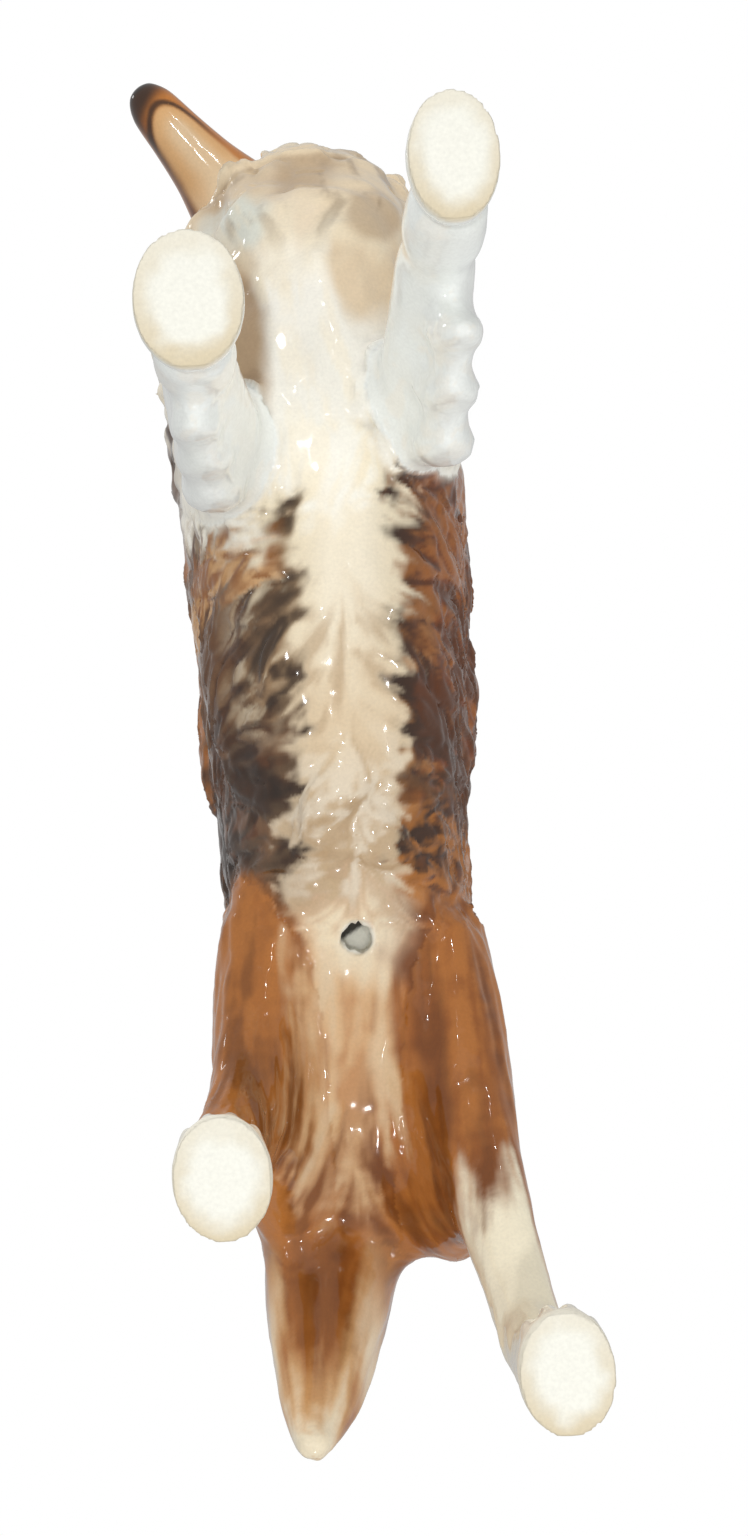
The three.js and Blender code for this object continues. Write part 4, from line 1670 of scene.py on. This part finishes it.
@dataclass(frozen=True)
class Glaze:
    """Clear gloss glaze over painted china, with bare biscuit where the glaze was wiped off.

    Attributes:
        name: Name of the finish.
        gloss: Roughness of the glaze.
        matt: Roughness of bare biscuit.
        ripple: Size of the glaze's unevenness in metres.
        pores: Size of the biscuit's pores in metres.
        relief: Height of ripple and pores in metres.
        bite: How strongly that relief is seen.
        tones: How much darker and lighter the specks are.
        refraction: How strongly the glaze bends light.
    """

    name: str
    gloss: float = 0.09
    matt: float = 0.75
    ripple: float = 0.004
    pores: float = 0.0004
    relief: float = 0.0001
    bite: float = 0.25
    tones: tuple[float, float] = (0.9, 1.1)
    refraction: float = 1.52

    def material(self) -> bpy.types.Material:
        """Build the node material.

        Returns:
            The finish as a Blender material.
        """
        material = bpy.data.materials.new(self.name)
        material.use_nodes = True
        tree = material.node_tree
        link = tree.links.new
        tree.nodes.clear()
        out = add_node(tree, "ShaderNodeOutputMaterial")
        shader = add_node(tree, "ShaderNodeBsdfPrincipled", {"IOR": self.refraction})
        place = add_node(tree, "ShaderNodeTexCoord")
        paint = add_node(tree, "ShaderNodeAttribute", attribute_name="paint")
        bare = add_node(tree, "ShaderNodeAttribute", attribute_name="bare")
        speck = add_node(tree, "ShaderNodeTexNoise", {"Scale": 1.0 / self.pores, "Detail": 3.0})
        tone = add_node(tree, "ShaderNodeMapRange", {"To Min": self.tones[0], "To Max": self.tones[1]})
        tint = add_node(tree, "ShaderNodeMix", {"Factor": 1.0}, data_type="RGBA", blend_type="MULTIPLY")
        rough = add_node(tree, "ShaderNodeMapRange", {"To Min": self.gloss, "To Max": self.matt})
        wave = add_node(tree, "ShaderNodeTexNoise", {"Scale": 1.0 / self.ripple, "Detail": 0.0})
        height = add_node(tree, "ShaderNodeMix", data_type="FLOAT")
        bump = add_node(tree, "ShaderNodeBump", {"Strength": self.bite, "Distance": self.relief})
        link(place.outputs["Object"], speck.inputs["Vector"])
        link(place.outputs["Object"], wave.inputs["Vector"])
        link(speck.outputs["Fac"], tone.inputs["Value"])
        link(paint.outputs["Color"], tint.inputs[6])
        link(tone.outputs["Result"], tint.inputs[7])
        link(tint.outputs[2], shader.inputs["Base Color"])
        link(bare.outputs["Fac"], rough.inputs["Value"])
        link(rough.outputs["Result"], shader.inputs["Roughness"])
        link(bare.outputs["Fac"], height.inputs[0])
        link(wave.outputs["Fac"], height.inputs[2])
        link(speck.outputs["Fac"], height.inputs[3])
        link(height.outputs[0], bump.inputs["Height"])
        link(bump.outputs["Normal"], shader.inputs["Normal"])
        link(shader.outputs["BSDF"], out.inputs["Surface"])
        return material


@dataclass
class Figurine:
    """The whole figure, from its castings to its glazed pieces.

    Attributes:
        castings: The castings' skins.
        head: The head's axes.
        waist: Place along Y where the torso's surface is divided in two pieces.
        cap_depth: How far a cut goes straight in before its cap closes it.
        votes: How many times each point takes the casting that most of its neighbours have.
        loyalty: How much a point's own casting counts in that.
    """

    castings: Castings = field(default_factory=Castings)
    head: HeadFrame = field(default_factory=HeadFrame)
    waist: float = -23.0
    cap_depth: float = 1.0
    votes: int = 6
    loyalty: float = 0.3

    def build(self) -> list[bpy.types.Object]:
        """Make and dress every piece.

        Returns:
            The finished pieces.
        """
        self.castings.read()
        glazes = {slot: Glaze(slot.value).material() for slot in Slot}
        sculptor = Sculptor(self.castings, self.head)
        clay = sculptor.dressed(glazes[Slot.SABLE])
        LOG.info("surface: %d quads", len(clay.quads))
        owners = self._tidied(clay, owners_of(clay.points, self.castings))
        coat_map = CoatMap(clay, owners, self.head)
        lie = coat_map.lie()
        sculptor.score(clay, coat_map, lie)
        bare = sculptor.flatten(clay, owners)
        colour = Painter(clay, coat_map, lie, bare).paint()
        return self._parted(clay, owners, colour, bare, glazes)

    def _tidied(self, clay: Clay, owners: Array) -> Array:
        """Give stray patches to the casting that surrounds them.

        Args:
            clay: The surface.
            owners: Casting of each point, as found.

        Returns:
            Castings in one patch each.
        """
        for _ in range(self.votes):
            near = np.stack([clay.around((owners == c).astype(float)) for c in Casting], axis=1)
            own = owners[:, None] == np.arange(len(Casting))
            owners = np.argmax(near + self.loyalty * own, axis=1)
        same = clay.edges[owners[clay.edges[:, 0]] == owners[clay.edges[:, 1]]]
        group = islands(len(owners), same)
        size = np.bincount(group, minlength=len(owners))
        main = np.zeros(len(owners), bool)
        for casting in Casting:
            mine = np.where(owners == casting)[0]
            main |= group == group[mine[np.argmax(size[group[mine]])]]
        owners = np.where(main, owners, -1)
        while (owners < 0).any():
            first, second = clay.edges.T
            for near, far in ((first, second), (second, first)):
                open_end = (owners[near] < 0) & (owners[far] >= 0)
                owners[near[open_end]] = owners[far[open_end]]
        return owners

    def _parted(
        self, clay: Clay, owners: Array, colour: Array, bare: Array, glazes: dict[Slot, bpy.types.Material]
    ) -> list[bpy.types.Object]:
        """Cut the surface apart into closed pieces, one or two to a casting.

        Args:
            clay: The finished surface.
            owners: Casting of each point.
            colour: Paint at each point.
            bare: How far each point is unglazed.
            glazes: Finish of each slot.

        Returns:
            The pieces, riding on the figure's body.
        """
        normals = clay.normals()
        face_owner = owners[clay.quads].min(axis=1)
        middle = clay.points[clay.quads].mean(axis=1)[:, 1]
        pieces = []
        for casting in Casting:
            parts = {casting.node: face_owner == casting}
            if casting is Casting.TORSO:
                fore = middle < self.waist
                parts = {"torso_fore": parts["torso"] & fore, "torso_rear": parts["torso"] & ~fore}
            slot = Slot.WHITE if casting in FORELEGS else Slot.SABLE
            for name, faces in parts.items():
                obj = self._piece(f"china_{name}", clay, clay.quads[faces], normals, colour, bare)
                obj.data.materials.append(glazes[slot])
                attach(obj, BODY)
                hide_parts(*casting.stands_for)
                LOG.info("%s: %d faces", obj.name, len(obj.data.polygons))
                pieces.append(obj)
        return pieces

    def _piece(
        self, name: str, clay: Clay, quads: Array, normals: Array, colour: Array, bare: Array
    ) -> bpy.types.Object:
        """Make one closed piece from some faces of the surface, with a cap behind each cut.

        Args:
            name: Name of the piece.
            clay: The finished surface.
            quads: The piece's faces.
            normals: Outward direction at each point of the whole surface.
            colour: Paint at each point.
            bare: How far each point is unglazed.

        Returns:
            The piece, in metres in the row frame.
        """
        used, local = np.unique(quads, return_inverse=True)
        local = local.reshape(-1, 4)
        starts, ends = local.ravel(), np.roll(local, -1, axis=1).ravel()
        count = len(used)
        keys, back = starts.astype(np.int64) * count + ends, ends.astype(np.int64) * count + starts
        open_side = ~np.isin(keys, back)
        rim = np.stack((starts[open_side], ends[open_side]), axis=1)
        points, way = clay.points[used], normals[used]
        paint, matt = colour[used], bare[used]
        faces = local.tolist()
        if len(rim):
            edge = np.unique(rim)
            inner = np.full(count, -1)
            inner[edge] = count + np.arange(len(edge))
            points = np.vstack((points, points[edge] - self.cap_depth * way[edge]))
            way = np.vstack((way, way[edge]))
            paint = np.vstack((paint, paint[edge]))
            matt = np.append(matt, matt[edge])
            faces += [(b, a, inner[a], inner[b]) for a, b in rim.tolist()]
            group = islands(count, rim)
            for loop in np.unique(group[rim[:, 0]]):
                sides = inner[rim[group[rim[:, 0]] == loop]]
                apex = len(points)
                points = np.vstack((points, points[sides[:, 0]].mean(axis=0)))
                way = np.vstack((way, unit(way[sides[:, 0]].mean(axis=0))))
                paint = np.vstack((paint, Palette.BISCUIT))
                matt = np.append(matt, 1.0)
                faces += [(b, a, apex) for a, b in sides.tolist()]
        obj = mesh_object(name, (points + ZERO) * MM, faces)
        mesh = obj.data
        attribute(mesh, "paint", "FLOAT_COLOR", np.hstack((paint, np.ones((len(paint), 1)))))
        attribute(mesh, "bare", "FLOAT", matt)
        mesh.shade_smooth()
        mesh.normals_split_custom_set_from_vertices(way.tolist())
        return obj


@dataclass(frozen=True)
class Lamp:
    """One round lamp that looks at the figure.

    Attributes:
        name: Name of the lamp.
        place: Place in millimetres about the figure's zero.
        size: Width of the lamp in millimetres.
        power: Power in watts.
        mirrored: Whether the glaze mirrors it.
        aim: Place in metres that every lamp looks at.
    """

    name: str
    place: tuple[float, float, float]
    size: float
    power: float
    mirrored: bool = True
    aim: ClassVar[Vector] = Vector((0.0, 0.0, 0.06))

    def hang(self) -> None:
        """Put the lamp into the scene."""
        data = bpy.data.lights.new(self.name, "AREA")
        data.shape = "DISK"
        data.size = self.size * MM
        data.energy = self.power
        lamp = placed(self.name, data)
        spot = Vector((np.array(self.place) + ZERO) * MM)
        turn = (self.aim - spot).to_track_quat("-Z", "Y").to_matrix().to_4x4()
        lamp.matrix_world = Matrix.Translation(spot) @ turn
        lamp.visible_glossy = self.mirrored


@dataclass(frozen=True)
class Studio:
    """Camera, lamps, floor and backdrop.

    Attributes:
        camera_place: Camera in millimetres about the figure's zero, under the ground.
        camera_turn: Turn of the picture about the line of sight, in degrees.
        focal: Focal length in pixels of the picture.
        picture: Width and height of the picture in pixels.
        axis_u: Where the line of sight meets the picture, across, in pixels.
        sensor: Longer side of the camera's sensor in millimetres.
        floor_size: Side of the floor in metres.
        floor_gap: How far the floor lies under the soles, in metres.
        floor_colour: Colour of the floor.
        floor_fade: Distances from the middle, in metres, between which the floor goes over to the backdrop.
        white: Colour of the backdrop and of the light in the room.
        room_light: Strength of the even light in the room.
        glaze_share: Share of the white backdrop that the glaze mirrors.
        glints: Places of the small lamps under the figure that sparkle in the glaze.
    """

    camera_place: tuple[float, float, float] = (-13.97, -0.85, -200.0)
    camera_turn: float = 3.5
    focal: float = 1960.0
    picture: tuple[int, int] = (748, 1536)
    axis_u: float = 236.8
    sensor: float = 36.0
    floor_size: float = 6.0
    floor_gap: float = 0.0002
    floor_colour: tuple[float, float, float, float] = (0.86, 0.85, 0.83, 1.0)
    floor_fade: tuple[float, float] = (0.2, 0.9)
    white: tuple[float, float, float, float] = (1.0, 1.0, 1.0, 1.0)
    room_light: float = 0.47
    glaze_share: float = 0.1
    glints: tuple[tuple[float, float, float], ...] = (
        (-80.0, 50.0, -700.0),
        (70.0, 260.0, -640.0),
        (480.0, 60.0, -450.0),
        (-420.0, 120.0, -480.0),
        (-40.0, 520.0, -470.0),
        (400.0, 420.0, -430.0),
        (-400.0, 420.0, -430.0),
        (60.0, -520.0, -470.0),
        (-140.0, -360.0, -590.0),
    )

    def build(self) -> None:
        """Set up the whole studio."""
        bpy.context.scene.view_settings.view_transform = "Standard"
        self._camera()
        self._backdrop()
        self._floor()
        for lamp in self._lamps():
            lamp.hang()

    def _lamps(self) -> list[Lamp]:
        """Choose the lamps: large ones that light the figure and small ones that sparkle in its glaze.

        Returns:
            The lamps, in the order in which they are hung.
        """
        return [
            Lamp("key", (-80.0, 50.0, -700.0), size=30.0, power=0.8, mirrored=False),
            *(
                Lamp(f"glint {number}", place, size=18.0, power=0.2)
                for number, place in enumerate(self.glints, 1)
            ),
            Lamp("under fill", (60.0, 120.0, -500.0), size=900.0, power=0.45),
            Lamp("front fill", (0.0, -480.0, -40.0), size=200.0, power=0.4, mirrored=False),
            Lamp("top key", (-260.0, -320.0, 520.0), size=240.0, power=2.2, mirrored=False),
            Lamp("top fill", (420.0, 240.0, 380.0), size=420.0, power=1.0, mirrored=False),
            Lamp("top glint", (-560.0, -520.0, 430.0), size=120.0, power=0.3),
        ]

    def _camera(self) -> None:
        """Look straight up at the soles, as the photograph does."""
        width, height = self.picture
        data = bpy.data.cameras.new("camera")
        data.sensor_width = self.sensor
        data.lens = self.focal / height * data.sensor_width
        data.shift_x = (width / 2.0 - self.axis_u) / height
        data.clip_start = 0.01
        camera = placed("camera", data)
        turn = math.radians(self.camera_turn)
        right = Vector((math.cos(turn), math.sin(turn), 0.0))
        above = Vector((math.sin(turn), -math.cos(turn), 0.0))
        behind = right.cross(above)
        pose = Matrix((right, above, behind)).transposed().to_4x4()
        pose.translation = Vector((np.array(self.camera_place) + ZERO) * MM)
        camera.matrix_world = pose
        bpy.context.scene.camera = camera

    def _backdrop(self) -> None:
        """White behind the figure, a plain even light everywhere else."""
        world = bpy.data.worlds.new("backdrop")
        bpy.context.scene.world = world
        world.use_nodes = True
        tree = world.node_tree
        link = tree.links.new
        light = tree.nodes["Background"]
        light.inputs["Color"].default_value = self.white
        light.inputs["Strength"].default_value = self.room_light
        white = add_node(tree, "ShaderNodeBackground", {"Color": self.white, "Strength": 1.0})
        ray, mix = add_node(tree, "ShaderNodeLightPath"), add_node(tree, "ShaderNodeMixShader")
        shine = add_node(tree, "ShaderNodeMath", {1: self.glaze_share}, operation="MULTIPLY")
        seen, shown = (add_node(tree, "ShaderNodeMath", operation="MAXIMUM") for _ in range(2))
        link(ray.outputs["Is Glossy Ray"], shine.inputs[0])
        link(ray.outputs["Is Camera Ray"], seen.inputs[0])
        link(ray.outputs["Is Transmission Ray"], seen.inputs[1])
        link(shine.outputs[0], shown.inputs[0])
        link(seen.outputs[0], shown.inputs[1])
        link(shown.outputs[0], mix.inputs[0])
        link(light.outputs["Background"], mix.inputs[1])
        link(white.outputs["Background"], mix.inputs[2])
        link(mix.outputs["Shader"], tree.nodes["World Output"].inputs["Surface"])

    def _floor(self) -> None:
        """A pale floor that is seen and shaded from above only, and fades into the backdrop."""
        half = self.floor_size / 2.0
        plan = ((-half, -half), (half, -half), (half, half), (-half, half))
        corners = np.array([(x, y, -self.floor_gap) for x, y in plan])
        floor = mesh_object("floor", corners, [(0, 1, 2, 3)])
        material = bpy.data.materials.new("pale floor")
        material.use_nodes = True
        tree = material.node_tree
        link = tree.links.new
        shader = tree.nodes["Principled BSDF"]
        shader.inputs["Base Color"].default_value = self.floor_colour
        shader.inputs["Roughness"].default_value = 0.6
        clear, side = add_node(tree, "ShaderNodeBsdfTransparent"), add_node(tree, "ShaderNodeNewGeometry")
        mix = add_node(tree, "ShaderNodeMixShader")
        away = add_node(tree, "ShaderNodeVectorMath", operation="LENGTH")
        near, far = self.floor_fade
        fade = add_node(
            tree, "ShaderNodeMapRange", {"From Min": near, "From Max": far}, interpolation_type="SMOOTHSTEP"
        )
        gone = add_node(tree, "ShaderNodeMath", operation="MAXIMUM")
        link(side.outputs["Position"], away.inputs[0])
        link(away.outputs["Value"], fade.inputs["Value"])
        link(fade.outputs["Result"], gone.inputs[0])
        link(side.outputs["Backfacing"], gone.inputs[1])
        link(gone.outputs[0], mix.inputs[0])
        link(shader.outputs["BSDF"], mix.inputs[1])
        link(clear.outputs["BSDF"], mix.inputs[2])
        link(mix.outputs["Shader"], tree.nodes["Material Output"].inputs["Surface"])
        floor.data.materials.append(material)
        floor.visible_shadow = floor.visible_diffuse = floor.visible_glossy = False


def main() -> None:
    """Build the figure and its studio."""
    logging.basicConfig(level=logging.INFO, format="%(relativeCreated)d %(message)s")
    pieces = Figurine().build()
    LOG.info("%d pieces", len(pieces))
    Studio().build()
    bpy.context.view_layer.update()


if __name__ == "__main__":
    main()
